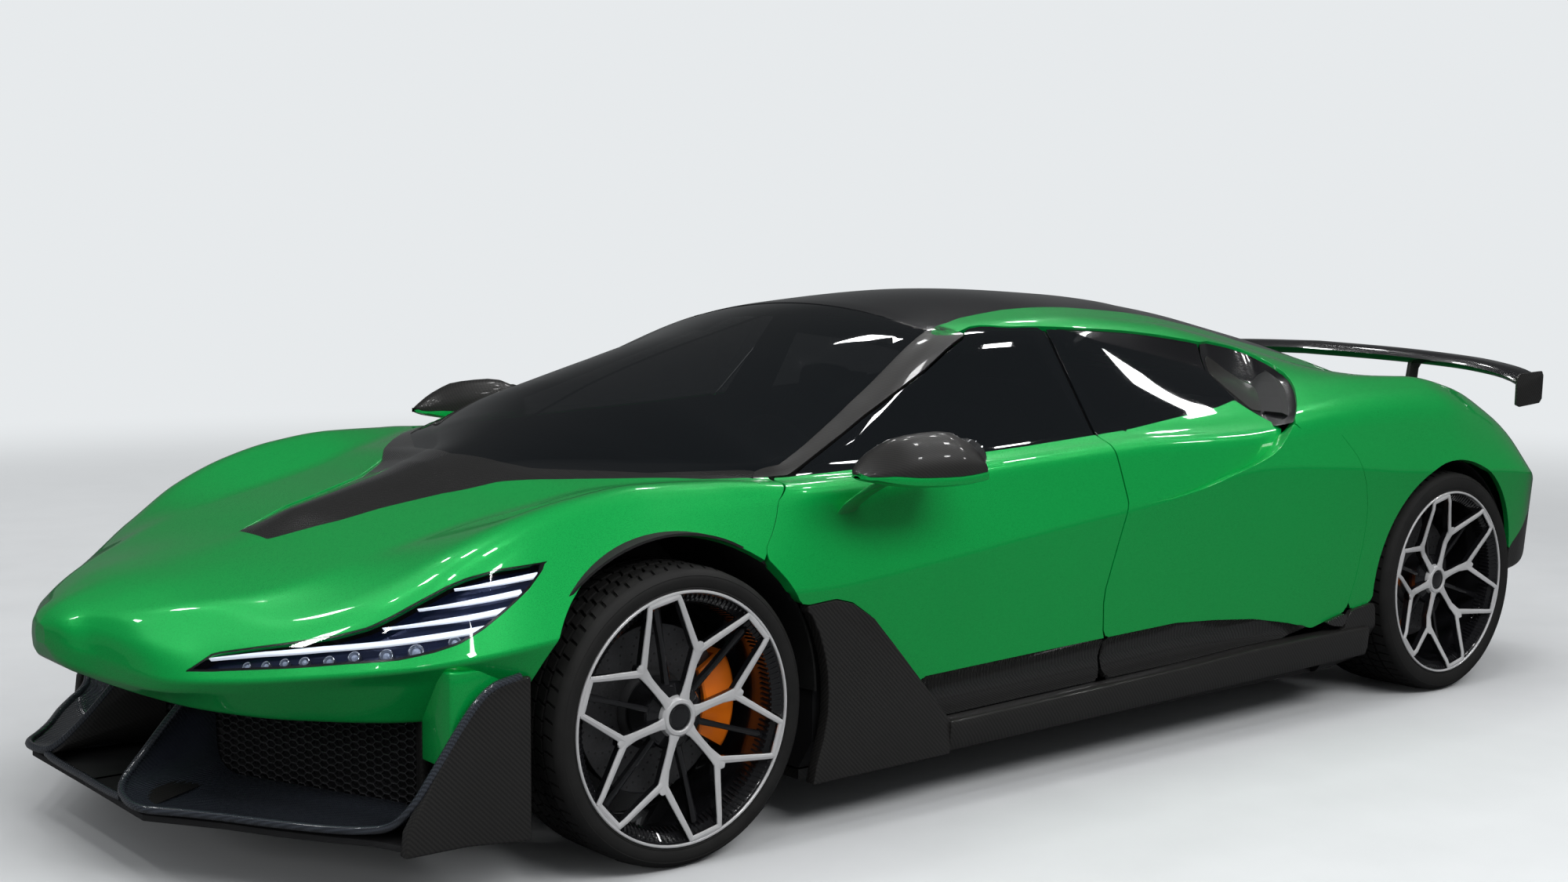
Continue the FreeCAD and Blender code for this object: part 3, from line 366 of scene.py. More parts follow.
class Sheet:
    """A piece of skin on the left half: points, outward normals and triangles."""

    def __init__(self, points, normals, tris):
        self.points, self.normals, self.tris = points, normals, tris

    def shaded(self):
        """The same sheet with normals taken anew from its triangles."""
        a, b, c = (self.points[self.tris[:, k]] for k in range(3))
        lean = np.zeros_like(self.points)
        for k in range(3):
            np.add.at(lean, self.tris[:, k], np.cross(b - a, c - a))
        lean = np.where(np.linalg.norm(lean, axis=1, keepdims=True) > 1e-12, lean, self.normals)
        middle = self.points[:, 1] < 1e-6
        lean[middle, 1] = 0.0
        return Sheet(self.points, unit(lean), self.tris)

    def trimmed(self, keep):
        """The part where keep(points) is above zero, cut cleanly through the triangles."""
        s = keep(self.points)
        s = np.where(np.abs(s) < 1e-7, 1e-7, s)
        inside = s > 0
        count = inside[self.tris].sum(1)
        kept = [self.tris[count == 3]]
        pts, nrm = [self.points], [self.normals]
        base = len(self.points)
        for alone, tris in ((True, self.tris[count == 1]), (False, self.tris[count == 2])):
            if not len(tris):
                continue
            turn = (np.arange(3)[None] + np.argmax(inside[tris] == alone, axis=1)[:, None]) % 3
            a, b, c = np.take_along_axis(tris, turn, 1).T
            ends = np.sort(np.concatenate((np.stack((a, b), 1), np.stack((a, c), 1))), axis=1)
            edges, which = np.unique(ends, axis=0, return_inverse=True)
            which = which.ravel()
            p, q = edges.T
            t = (s[p] / (s[p] - s[q]))[:, None]
            pts.append(self.points[p] * (1 - t) + self.points[q] * t)
            nrm.append(unit(self.normals[p] * (1 - t) + self.normals[q] * t))
            ab, ac = base + which[:len(a)], base + which[len(a):]
            base += len(edges)
            if alone:
                kept.append(np.stack((a, ab, ac), 1))
            else:
                kept += [np.stack((ab, b, c), 1), np.stack((ab, c, ac), 1)]
        tris = np.concatenate(kept)
        points, normals = np.concatenate(pts), np.concatenate(nrm)
        # points made on the same edge by the two kinds of cut are joined by place
        used, back = np.unique(tris, return_inverse=True)
        points, normals = points[used], normals[used]
        tris = back.reshape(-1, 3)
        first, same = np.unique(np.round(points, 7), axis=0, return_index=True, return_inverse=True)[1:]
        tris = same.ravel()[tris]
        tris = tris[(tris[:, 0] != tris[:, 1]) & (tris[:, 1] != tris[:, 2]) & (tris[:, 2] != tris[:, 0])]
        return Sheet(points[first], normals[first], tris)

    def sunk(self, depth):
        """The same skin, moved inwards by a distance or by one distance for each point."""
        deep = np.broadcast_to(depth(self.points) if callable(depth) else depth, len(self.points))
        return Sheet(self.points - self.normals * deep[:, None], self.normals, self.tris)

    def rim(self):
        """The open edge, as pairs of points in the direction of the triangles."""
        e = np.concatenate((self.tris[:, (0, 1)], self.tris[:, (1, 2)], self.tris[:, (2, 0)]))
        key = {(int(a), int(b)) for a, b in e}
        return np.array([(a, b) for a, b in key if (b, a) not in key and abs(self.points[a, 1])
                         + abs(self.points[b, 1]) > 2e-6])

    def turned_in(self, turns, fall=None):
        """Adds an edge that rolls over and goes inwards: pairs of how far out and how deep, in metres."""
        edges = self.rim()
        ids = np.unique(edges)
        spot = {int(v): k for k, v in enumerate(ids)}
        along = np.zeros((len(ids), 3))
        for a, b in edges:
            step = unit(self.points[b] - self.points[a])
            along[spot[int(a)]] += step
            along[spot[int(b)]] += step
        normal = self.normals[ids]
        out = unit(np.cross(unit(along), normal))
        out[np.abs(self.points[ids, 1]) < 1e-6, 1] = 0
        points, normals, tris = [self.points], [self.normals], [self.tris]
        inner = ids
        base = len(self.points)
        for k, (far, deep) in enumerate(turns):
            deep = deep if fall is None or k < len(turns) - 1 else np.maximum(deep, fall(self.points[ids]))
            ring = self.points[ids] + out * far - normal * np.reshape(deep, (-1, 1))
            points.append(ring)
            normals.append(unit(out + normal * (0.6 if k == 0 else 0)))
            outer = np.arange(base, base + len(ids))
            a = np.array([spot[int(v)] for v in edges[:, 0]])
            b = np.array([spot[int(v)] for v in edges[:, 1]])
            tris += [np.stack((inner[b], inner[a], outer[a]), 1), np.stack((inner[b], outer[a], outer[b]), 1)]
            inner = outer
            base += len(ids)
        return Sheet(np.concatenate(points), np.concatenate(normals), np.concatenate(tris))

    def on_side(self, hand):
        """The sheet as it is for the left, mirrored for the right."""
        return self if hand == "left" else self.other_side()

    def joined(self, other):
        return Sheet(np.concatenate((self.points, other.points)),
                     np.concatenate((self.normals, other.normals)),
                     np.concatenate((self.tris, other.tris + len(self.points))))

    def other_side(self):
        flip = np.array((1, -1, 1))
        return Sheet(self.points * flip, self.normals * flip, self.tris[:, ::-1])


def mounted(made, body, replaces, slot):
    """An object that rides on its body and stands for the solids it replaces."""
    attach(made, body)
    if replaces:
        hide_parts(*replaces)
    return made


def piece(name, sheet, finish, body="chassis", replaces=(), slot=None):
    """A finished object from a sheet, riding on a body."""
    mesh = bpy.data.meshes.new(name)
    mesh.from_pydata(sheet.points.tolist(), [], sheet.tris.tolist())
    mesh.polygons.foreach_set("use_smooth", [True] * len(mesh.polygons))
    mesh.materials.append(finish.material)
    mesh.normals_split_custom_set_from_vertices(sheet.normals.tolist())
    return mounted(new_object(name, mesh), body, replaces, slot)


def reach(outline, flat):
    """How far each point lies inside a closed outline, negative outside; all in metres."""
    a = np.array(outline, float) / 1000
    b = np.roll(a, -1, axis=0)
    best = np.full(len(flat), 1e9)
    inside = np.zeros(len(flat), bool)
    for (x0, y0), (x1, y1) in zip(a, b):
        d = np.array((x1 - x0, y1 - y0))
        t = np.clip(((flat - (x0, y0)) @ d) / max(d @ d, 1e-12), 0, 1)
        best = np.minimum(best, np.linalg.norm(flat - (x0, y0) - t[:, None] * d, axis=1))
        if y0 != y1:
            cross = (flat[:, 1] > y0) != (flat[:, 1] > y1)
            inside ^= cross & (flat[:, 0] < x0 + (flat[:, 1] - y0) * (x1 - x0) / (y1 - y0))
    return np.where(inside, best, -best)


def side(outline):
    """Distance inside an outline drawn in side view (x, z), in mm."""
    return lambda p: reach(outline, p[:, (0, 2)])


def off(*areas, gap=0.0):
    """Everything at least a gap away from every area."""
    return lambda p: np.minimum.reduce([-a(p) for a in areas]) - gap


def on(*areas, gap=0.0):
    """Everything at least a gap inside every area."""
    return lambda p: np.minimum.reduce([a(p) for a in areas]) - gap


def corners_of(number):
    """The four corners of each cell of a numbered grid, in turn round the cell."""
    return (q.ravel() for q in (number[:-1, :-1], number[1:, :-1], number[1:, 1:], number[:-1, 1:]))


grid = master_surface()
normals = unit(np.cross(np.gradient(grid, axis=0), np.gradient(grid, axis=1)))
normals = normals.reshape(-1, 3) * (1 if normals[..., 1].mean() > 0 else -1)
a, b, c, d = corners_of(np.arange(grid.shape[0] * grid.shape[1]).reshape(grid.shape[:2]))
tris = np.concatenate((np.stack((a, b, c), 1), np.stack((a, c, d), 1)))
flat_points = grid.reshape(-1, 3)
p, q, r = (flat_points[tris[:, k]] for k in range(3))
area = np.cross(q - p, r - p)
outward = (area[:, 1] > 0).mean() > 0.5
tris = tris if outward else tris[:, ::-1]
skin = Sheet(flat_points, normals, tris[np.linalg.norm(area, axis=1) > 1e-10])


# ---- Painted panels: carbon composite skins under metallic green and thick clear lacquer. The nose and the
# rear quarters are bonded to the cell, the doors hang on it with even shut lines; all edges are turned in.
# Outlines are side views (x, z) or plans (x, y) in mm, as the moulds are split.
FRONT_AXLE, REAR_AXLE = (1380, 350), (-1650, 355)
GAP = 3                                 # shut line round each door
C_X = REAR_AXLE[0] + 395                # front edge of the rear wheel's arch
CUT_A = [(1015, 866), (1063, 818), (1076, 782), (1096, 748), (1124, 714), (1124, 690)]
CUT_B = [(-93, 906), (-106, 817), (-116, 732), (-75, 606), (-36, 480), (-45, 372), (-60, 340), (-70, 246)]
CUT_C = [(C_X + 355, 960), (C_X + 296, 914), (C_X + 192, 862), (C_X + 130, 796), (C_X + 86, 706),
         (C_X + 69, 640), (C_X + 69, 557), (C_X + 88, 438), (C_X + 122, 327), (C_X + 139, 262)]
FIN = [(1124, 690), (1090, 640), (1045, 578), (1021, 572), (932, 577), (878, 562), (809, 517), (723, 423),
       (640, 330), (549, 226)]
BLADE_TOP = [(549, 226), (-86, 240), (-364, 247), (-631, 258), (-929, 262), (C_X + 145, 262)]


def curve(p, count=5):
    """An even curve through the points from the second to the last but one."""
    out = [0.5 * (2 * p[i] + (p[i + 1] - p[i - 1]) * t
                  + (2 * p[i - 1] - 5 * p[i] + 4 * p[i + 1] - p[i + 2]) * t * t
                  + (3 * p[i] - p[i - 1] - 3 * p[i + 1] + p[i + 2]) * t ** 3)
           for i in range(1, len(p) - 2) for t in np.arange(count) / count]
    return np.array(out + [p[-2]])


def rounded(line):
    """The line's points joined by an even curve, as a list of more points."""
    return [tuple(q) for q in curve(np.array([line[0]] + line + [line[-1]], float))]


LOOP = rounded([(-303, 729), (-445, 751), (-579, 783), (-699, 812), (-765, 838), (-824, 880), (-888, 928),
                (-961, 967), (-1031, 1007), (-1072, 1034), (-1088, 1062), (-1070, 1090), (-1008, 1112),
                (-869, 1135)])
WINDOW_TOP = rounded([(600, 1026), (150, 1185), (-57, 1195), (-263, 1189), (-561, 1168), (-832, 1131),
                      (-1026, 1088)])
GREEN_LOW = [(700, 341), (626, 344), (394, 350), (-345, 369), (-515, 358), (-690, 341), (-849, 311),
             (-964, 282), (-1061, 303), (-1160, 320), (-1263, 333)]
BELT = [(r[0], r[10] + 3) for r in SECTIONS[::-1]]
TURN = ((0.0006, 0.0005), (0.001, 0.002), (0.001, 0.016))     # a panel's turned-in edge: out and deep, metres
DOOR_TURN = TURN[:2] + ((0.001, 0.030),)
UPPER_Z = 0.56                          # a plan outline cuts only what lies above this
SINK_DEEP, SINK_FROM, SINK_RUN = 0.062, -0.200, 0.750
HANDS = {"left": 1, "right": -1}


def at(line, x):
    """The height of a line that runs rearwards, at one x."""
    for (x1, z1), (x0, z0) in zip(line, line[1:]):
        if x0 <= x <= x1:
            return z0 + (z1 - z0) * (x - x0) / (x1 - x0)


def stretch(line, front, rear):
    """The part of a line from one x to another, with points on both ends."""
    return [(front, at(line, front))] + [p for p in line if rear < p[0] < front] + [(rear, at(line, rear))]


def circle(centre, radius, count=72):
    return [(centre[0] + radius * math.cos(2 * math.pi * k / count),
             centre[1] + radius * math.sin(2 * math.pi * k / count)) for k in range(count)]


def top(outline):
    """Distance inside an outline drawn from above (x, y), in mm, for the upper surface only."""
    return lambda p: np.where(p[:, 2] > UPPER_Z, reach(outline, p[:, (0, 1)]), -1.0)


def sink(p):
    """How far the flank behind the crease lies inside the master shape, in metres."""
    return SINK_DEEP * np.clip((SINK_FROM - p[:, 0]) / SINK_RUN, 0, 1)


front_door_line = (stretch(BELT, 1010, -93 + GAP) + [(x + GAP, z) for x, z in CUT_B[1:-1]]
                   + [(-63, at(BLADE_TOP, -63) + GAP), (549, 226 + GAP)]
                   + [(x, z + GAP) for x, z in FIN[-2:1:-1]] + [(1080, 640)]
                   + [(x - GAP, z) for x, z in CUT_A[::-1][:-1]])
rear_door_line = (stretch(BELT, -93 - GAP, -812) + [(-832, 938), (-872, 890)]
                  + [(x + GAP, z) for x, z in CUT_C if z < 900][:-1]
                  + [(x, z + GAP) for x, z in stretch(BLADE_TOP, -78, C_X + 145)[::-1]]
                  + [(x - GAP, z) for x, z in CUT_B[1:-1][::-1]])
side_line = (stretch(BELT, 1015, -818) + [(-838, 938), (-878, 890)] + [p for p in CUT_C if p[1] < 900]
             + BLADE_TOP[::-1] + FIN[::-1][1:-1] + CUT_A[::-1][:-1])
sink_line = (LOOP[:-1] + [p for p in WINDOW_TOP[::-1] if -870 < p[0] < -215]
             + [(-205, 1193), (-205, 722)])
clip_line = [(2600, 380), (2600, 1000), (1015, 1000)] + CUT_A[:-1] + [(1124, 620), (1040, 595), (1040, 380)]
quarter_line = [(-832, 800), (-832, 1400), (-1300, 1400), (-1300, 800)]
window_open = (stretch(WINDOW_TOP, 180, -832) + [(-838, 958)]
               + stretch(BELT, 1100, -838)[::-1] + [(1100, 1190)])
rear_line = ([(240, 1300), (-2600, 1300), (-2600, 100), (C_X + 160, 100), (C_X + 160, 258)]
             + [p for p in CUT_C[::-1] if p[1] < 900] + [(-878, 890), (-838, 938), (-838, 1000), (-880, 1100),
                                                         (240, 1100)])
spear_line = [(1975, -50), (1975, 83), (1819, 157), (1720, 175), (1578, 223), (1464, 305), (1385, 440),
              (1282, 575), (1143, 736), (1045, 808), (1030, 786), (1215, 600), (1365, 300), (1420, 0),
              (1420, -50)]
screen_line = [(1420, -50), (1420, 0), (1365, 300), (1215, 600), (1030, 786), (970, 800), (240, 540),
               (240, -50)]
pillar_line = [(1055, 806), (970, 832), (638, 732), (354, 660), (139, 588), (181, 524), (240, 540),
               (970, 800), (1030, 786)]
roof_line = [(240, -50), (240, 545), (181, 524), (60, 480), (-150, 440), (-450, 408), (-860, 392),
             (-860, -50)]
rear_glass_line = [(-860, -50), (-860, 392), (-1300, 380), (-1780, 350), (-1780, -50)]
lamp_line = [(2345, 495), (2289, 535), (2208, 559), (2111, 585), (2055, 606), (1999, 636), (1949, 664),
             (1898, 691), (1859, 706), (1794, 721), (1681, 732), (1745, 679), (1801, 643), (1863, 606),
             (1919, 577), (1967, 561), (2033, 545), (2112, 534), (2220, 515), (2307, 499)]
bumper_line = [(-2040, 100), (-2040, 430), (-2180, 520), (-2600, 560), (-2600, 100)]
tail_line = [(-2320, 640), (-2320, 672), (-2600, 690), (-2600, 652)]
front_arch = side(circle((1375, 352), 415))
rear_arch = side(circle((-1650, 355), 395))
green_edge = side([(2600, 1400), (2600, 100), (640, 100), (640, 343)] + GREEN_LOW[1:]
                  + [(-2600, 420), (-2600, 1400)])

green = Finish("green_lacquer", (0.002, 0.30, 0.05), 0.34, 0.45, Coat_Weight=1.0, Coat_Roughness=0.02)
flakes = green.node("ShaderNodeTexVoronoi", None, {"Vector": green.place()[0], "Scale": 1900.0}, out=1)
glint = green.node("ShaderNodeSeparateColor", None, {0: flakes})
drift = green.cloud(1.3)
green.set("Base Color", green.blend(glint * 0.75 + drift * 0.25, (0.0006, 0.30, 0.055), (0.002, 0.54, 0.095)))
green.set("Roughness", 0.26 + glint * 0.16)
green.emboss(green.cloud(260.0), 0.00004, 0.35)


def mirrored(sheet):
    """The sheet on both sides of the car."""
    return sheet.joined(sheet.other_side())


clip = skin.trimmed(on(side(clip_line), off(top(spear_line), top(screen_line), top(pillar_line),
                                            side(lamp_line), front_arch)))
clip_sheet = mirrored(clip.turned_in(TURN))
# a fan of triangles closes the beak ahead of the first section
tip = np.vstack((grid[0], (grid[0, 0, 0] + 0.002, 0, 0.535)))
last = len(tip) - 1
fan = np.array([(k + 1, k, last) for k in range(last - 1)])
turned_out = np.cross(tip[fan[:, 1]] - tip[fan[:, 0]], tip[fan[:, 2]] - tip[fan[:, 0]])[:, 0].sum() > 0
cap = Sheet(tip, np.tile((1.0, 0, 0), (len(tip), 1)), fan if turned_out else fan[:, ::-1])
clip_sheet = clip_sheet.joined(mirrored(cap))
piece("nose_and_front_wings", clip_sheet, green, replaces=["front_clip"], slot="paint")

rear_sill = side([(C_X + 200, 100), (C_X + 200, 300), (-1061, 303), (-1160, 320), (-1263, 333), (-1330, 340),
                  (-1330, 100)])
rear_skin = skin.trimmed(on(side(rear_line), off(top(roof_line), top(rear_glass_line), side(bumper_line),
                                                 side(tail_line), side(window_open), side(side_line),
                                                 side(sink_line), rear_arch, rear_sill)))
rear_sheet = rear_skin.turned_in(TURN, lambda p: np.where(reach(sink_line, p[:, (0, 2)]) > -0.003,
                                                          sink(p) + 0.012, 0.016))
piece("rear_quarters_and_cant_rails", mirrored(rear_sheet), green, replaces=["rear_body"], slot="paint")


def door_pieces(label, front, rear, finish, slot, replaces=None):
    """A piece on each of the four doors, from the sheets for the left ones."""
    for hand in HANDS:
        for end, sheet in (("front", front), ("rear", rear)):
            piece("%s_door_%s_%s" % (end, label, hand), sheet.on_side(hand), finish, "%s_door_%s" % (end, hand),
                  replaces=[replaces % (end, hand)] if replaces else (), slot=slot)


front_door = skin.trimmed(side(front_door_line)).trimmed(green_edge).turned_in(DOOR_TURN)
# the rear door is two sheets: the skin round the sunk flank, and the flank itself under it
outer = skin.trimmed(on(side(rear_door_line), off(side(sink_line)), green_edge))
outer = outer.turned_in(DOOR_TURN, lambda p: sink(p) + 0.010)
inner = skin.sunk(sink).trimmed(lambda p: np.minimum(
    side(rear_door_line)(p), side(sink_line)(p) + 0.022 * np.clip((-0.32 - p[:, 0]) / 0.12, 0, 1)))
door_pieces("skin", front_door, outer.joined(inner), green, "paint", "%s_door_%s")


# ---- Glass: laminated screens and door panes, tinted almost black. The screens are bonded flush into the
# panels, the panes ride with their doors, and each has a narrow ground edge.
tint = Finish("tinted_glass", (0.004, 0.005, 0.006), 0.025, 0.0, IOR=1.5, Alpha=0.93, Coat_Weight=0.6,
              Coat_Roughness=0.01)
tint.set("Roughness", 0.015 + tint.cloud(6.0, 3.0) * 0.02)
PANE = ((0.0004, 0.0004), (0.0006, 0.0012), (0.0006, 0.006))
GLASS_LOW = 0.002                       # glass lies this much under the paint

screen = skin.trimmed(on(top(screen_line), off(side(side_line)))).sunk(GLASS_LOW).turned_in(PANE)
piece("windscreen_glass", mirrored(screen), tint, replaces=["windscreen"], slot="glazing")
rear_screen = skin.trimmed(top(rear_glass_line)).sunk(GLASS_LOW).turned_in(PANE)
piece("rear_screen_glass", mirrored(rear_screen), tint, replaces=["rear_window"], slot="glazing")

pane_top = [(x, z - GAP) for x, z in WINDOW_TOP]
front_pane_line = stretch(pane_top, 110, -160) + stretch(BELT, 950, -86)[::-1]
rear_pane_line = [(-172, 1186), (-263, 1181), (-561, 1154), (-824, 1114)] + stretch(BELT, -98, -824)[::-1]
pane_front = [(1055, 813), (970, 839), (638, 739), (354, 667), (132, 595), (181, 524), (240, 540), (970, 800),
              (1030, 786)]
front_pane = skin.trimmed(on(side(front_pane_line), off(top(pane_front), side(front_door_line))))
rear_pane = skin.sunk(sink).trimmed(on(side(rear_pane_line), off(side(rear_door_line))))
front_pane, rear_pane = (pane.sunk(GLASS_LOW).turned_in(PANE) for pane in (front_pane, rear_pane))
door_pieces("pane", front_pane, rear_pane, tint, "glazing", "%s_door_glass_%s")


# ---- Carbon trim: twill cloth under satin or gloss resin, bonded on over the panels: the spear, the screen
# pillars, the louvres and the sill ends. The roof skin, quarter trims and pane borders are lacquered black.
def carbon(name, tow, rough, coat, dark, light, relief):
    """Two-by-two twill: each tow passes over two and under two, one step along in each row."""
    made = Finish(name, dark, rough, 0.0, Coat_Weight=coat, Coat_Roughness=0.04)
    point, (x, y, z) = made.place()
    across = abs(y) - z
    row, column = (x / tow).floor(), (across / tow).floor()
    over = ((row + column) % 4.0) < 1.5
    crown_x = abs((x / tow) % 1.0 - 0.5)
    crown_y = abs((across / tow) % 1.0 - 0.5)
    swell = over * (1.0 - crown_x * 1.7) + (1.0 - over) * (1.0 - crown_y * 1.7)
    cloudy = made.cloud(9.0, 3.0, point)
    # Tows that lie over are lighter, the weave's own pattern. Each tow is also lighter along its crown and
    # darker at its edges where it dips: a painted sheen and painted shade that follow the relief the bump
    # gives.
    share = (over * 0.75 + 0.12) * (0.5 + 0.5 * swell) + cloudy * 0.2
    made.set("Base Color", made.blend(share, dark, light))
    made.set("Roughness", rough + (1.0 - over) * 0.12)
    made.emboss(swell, tow * 0.04, relief)
    return made


TOW = 0.0030                            # width of a tow of the cloth, metres
KEEL_HIGH = 0.022                       # the ridge along the spear's middle
SILL_PROUD = 0.012                      # how far the sill stands out behind the doors
satin_carbon = carbon("satin_carbon", TOW, 0.34, 0.3, (0.007, 0.007, 0.007), (0.022, 0.021, 0.020), 0.25)
gloss_carbon = carbon("gloss_carbon", TOW, 0.24, 1.0, (0.006, 0.006, 0.006), (0.016, 0.0155, 0.015), 0.12)
black_lacquer = Finish("black_lacquer", (0.006, 0.006, 0.007), 0.22, 0.0, Coat_Weight=1.0, Coat_Roughness=0.02)
black_lacquer.emboss(black_lacquer.cloud(220.0), 0.00004, 0.3)
black_lacquer.set("Roughness", 0.2 + black_lacquer.cloud(7.0) * 0.08)
cast_black = worn("moulded_black", 14.0, (0.010, 0.010, 0.011), (0.022, 0.022, 0.023), 0.42, 0.62)
cast_black.emboss(cast_black.cloud(1400.0, 1.0), 0.00012, 0.5)


def ridge(p):
    """The spear's keel: it rises to a soft ridge along the middle and falls to its edges."""
    width = np.interp(p[:, 0], (1.385, 1.464, 1.578, 1.72, 1.819, 1.975),
                      (0.44, 0.305, 0.223, 0.175, 0.157, 0.083))
    run = np.clip((1.975 - p[:, 0]) / 0.12, 0, 1) * np.clip((p[:, 0] - 1.34) / 0.16, 0, 1)
    return -(KEEL_HIGH * run * np.clip(1 - (np.abs(p[:, 1]) / width) ** 1.6, 0, 1)) + 0.004 * run


spear = skin.trimmed(on(top(spear_line), off(side(side_line), top(pillar_line)))).sunk(ridge).shaded()
piece("bonnet_spear_skin", mirrored(spear.turned_in(TURN)), gloss_carbon, replaces=["bonnet_spear"],
      slot="carbon")
pillar = skin.trimmed(on(top(pillar_line), off(side(side_line), top(roof_line)))).turned_in(TURN)
piece("screen_pillar_trims", mirrored(pillar), satin_carbon, replaces=["pillar_trims"], slot="carbon")
roof = skin.trimmed(top(roof_line)).turned_in(TURN)
piece("roof_skin", mirrored(roof), black_lacquer, replaces=["roof_panel"], slot="gloss_black")


def quarter_depth(p):
    """Black trim that starts just under the rail's edge and falls to the depth of the door's flank."""
    return 0.008 + sink(p) * np.clip(reach(sink_line, p[:, (0, 2)]) / 0.045, 0, 1) ** 0.8


quarter = skin.trimmed(on(side(quarter_line), side(sink_line), off(side(side_line), gap=0.003)))
quarter = quarter.sunk(quarter_depth).shaded()
piece("quarter_trims_skin", mirrored(quarter), black_lacquer, replaces=["quarter_trims"], slot="carbon")
border_zone = side([(x, z - 60) for x, z in WINDOW_TOP if -830 < x < -200]
                   + [(-828, 1050), (-828, 1300), (-200, 1300)])
pane_border = skin.trimmed(on(border_zone, side(sink_line))).sunk(quarter_depth).shaded()
for hand in HANDS:
    piece("rear_pane_border_" + hand, pane_border.on_side(hand), black_lacquer, "rear_door_" + hand,
          slot="black_plastic")
louvre = [(-852, 985), (-852, 1108), (-950, 1086), (-1000, 1056), (-975, 1015), (-920, 985)]
patch = skin.trimmed(side(rounded(louvre + louvre[:1]))).sunk(lambda p: quarter_depth(p) - 0.003).shaded()
piece("quarter_louvres", mirrored(patch.turned_in(PANE)), satin_carbon, slot="carbon")
sill_end = skin.trimmed(on(rear_sill, side(rear_line), off(rear_arch))).sunk(-SILL_PROUD).turned_in(TURN)
piece("sill_ends", mirrored(sill_end), satin_carbon, slot="carbon")


# ---- Rear face: a painted surround bonded to the quarters, a smoked tail-lamp band moulded in one length
# across the car, and a carbon bumper below it. The face is flat and closes the last section of the skin.
back_edge = grid[-1][:, 1:]
outline = [(y * 1000, z * 1000) for y, z in back_edge]
outline = [(-60, outline[0][1])] + outline + [(-60, outline[-1][1])]
ys, zs = np.meshgrid(np.arange(-0.013, 0.80, 0.013), np.arange(0.33, 0.80, 0.01), indexing="ij")
face_points = np.stack((np.full(ys.size, SECTIONS[0, 0] / 1000), np.maximum(ys.ravel(), 0), zs.ravel()), -1)
a, b, c, d = corners_of(np.arange(ys.size).reshape(ys.shape))
face = Sheet(face_points, np.tile((-1.0, 0, 0), (ys.size, 1)),
             np.concatenate((np.stack((a, c, b), 1), np.stack((a, d, c), 1))))


def behind(outline):
    """Distance inside an outline drawn from behind (y, z), in mm."""
    return lambda p: reach(outline, p[:, (1, 2)])


LAMP_BAND = [(-60, 652), (900, 652), (900, 690), (-60, 690)]
face = face.trimmed(behind(outline))
PANEL_LOW = [(-60, 300), (900, 300), (900, 556), (-60, 556)]
rear_face = face.trimmed(off(behind(LAMP_BAND), behind(PANEL_LOW)))
piece("tail_surround", mirrored(rear_face), green, slot="paint")
lens_red = Finish("smoked_lens", (0.05, 0.004, 0.004), 0.12, 0.0, Coat_Weight=1.0, Coat_Roughness=0.02)
point, (x, y, z) = lens_red.place()
ribs = abs((y / 0.012) % 1.0 - 0.5)
lens_red.set("Base Color", lens_red.blend(ribs * 1.6, (0.16, 0.006, 0.006), (0.025, 0.002, 0.002)))
lens_red.emboss(ribs, 0.0012, 0.6)
band = face.trimmed(behind(LAMP_BAND)).sunk(0.004)
ends = skin.trimmed(side(tail_line)).turned_in(PANE)
piece("tail_lamp_lens", mirrored(ends.joined(band)), lens_red, replaces=["tail_lamps"], slot="lamp_glass")
bumper = skin.trimmed(on(side(bumper_line), off(rear_arch))).turned_in(TURN)
low = face.trimmed(behind(PANEL_LOW)).sunk(-0.002)
piece("rear_bumper_skin", mirrored(bumper.joined(low)), satin_carbon, replaces=["rear_bumper"], slot="carbon")


# ---- Sills: a gloss carbon rocker let into each door's foot, which swings with it, and a fixed satin blade
# with a fin plate ahead of it, both bonded to the cell's sill.
def outline_solid(outline, low, high, across="y"):
    """A flat outline given thickness, in mm: side view across y, plan across z, front view across x."""
    n = len(outline)
    order = {"y": lambda u, v, w: (u, w, v), "z": lambda u, v, w: (u, v, w),
             "x": lambda u, v, w: (w, u, v)}[across]
    points = [order(u, v, low) for u, v in outline] + [order(u, v, high) for u, v in outline]
    faces = [tuple(range(n)), tuple(range(2 * n - 1, n - 1, -1))]
    faces += [(k, k + n, (k + 1) % n + n, (k + 1) % n) for k in range(n)]
    return points, faces


def loft(rings, closed=True, capped=True):
    """Skin through rings of equally many points, in mm."""
    n = len(rings[0])
    points = [p for ring in rings for p in ring]
    faces = []
    for i in range(len(rings) - 1):
        for k in range(n if closed else n - 1):
            a, b = i * n + k, i * n + (k + 1) % n
            faces.append((a, b, b + n, a + n))
    if capped:
        faces += [tuple(range(n))[::-1], tuple(range((len(rings) - 1) * n, len(rings) * n))]
    return points, faces


def together(*shapes):
    """Several shapes as one."""
    points, faces = [], []
    for p, f in shapes:
        faces += [tuple(i + len(points) for i in face) for face in f]
        points += list(p)
    return points, faces


def flipped(shape):
    """The shape mirrored to the car's other side."""
    return [(x, -y, z) for x, y, z in shape[0]], [f[::-1] for f in shape[1]]


def pair(shape):
    """The shape on both sides of the car."""
    return together(shape, flipped(shape))


def mesh_of(name, shape):
    """A mesh in metres from points in mm."""
    mesh = bpy.data.meshes.new(name)
    mesh.from_pydata([(x / 1000, y / 1000, z / 1000) for x, y, z in shape[0]], [], shape[1])
    return mesh


def faced(mesh, merge, outwards):
    """Joins points that lie on each other, and turns all faces outwards."""
    work = bmesh.new()
    work.from_mesh(mesh)
    if merge:
        bmesh.ops.remove_doubles(work, verts=work.verts, dist=1e-6)
    if outwards:
        bmesh.ops.recalc_face_normals(work, faces=work.faces)
    work.to_mesh(mesh)
    work.free()


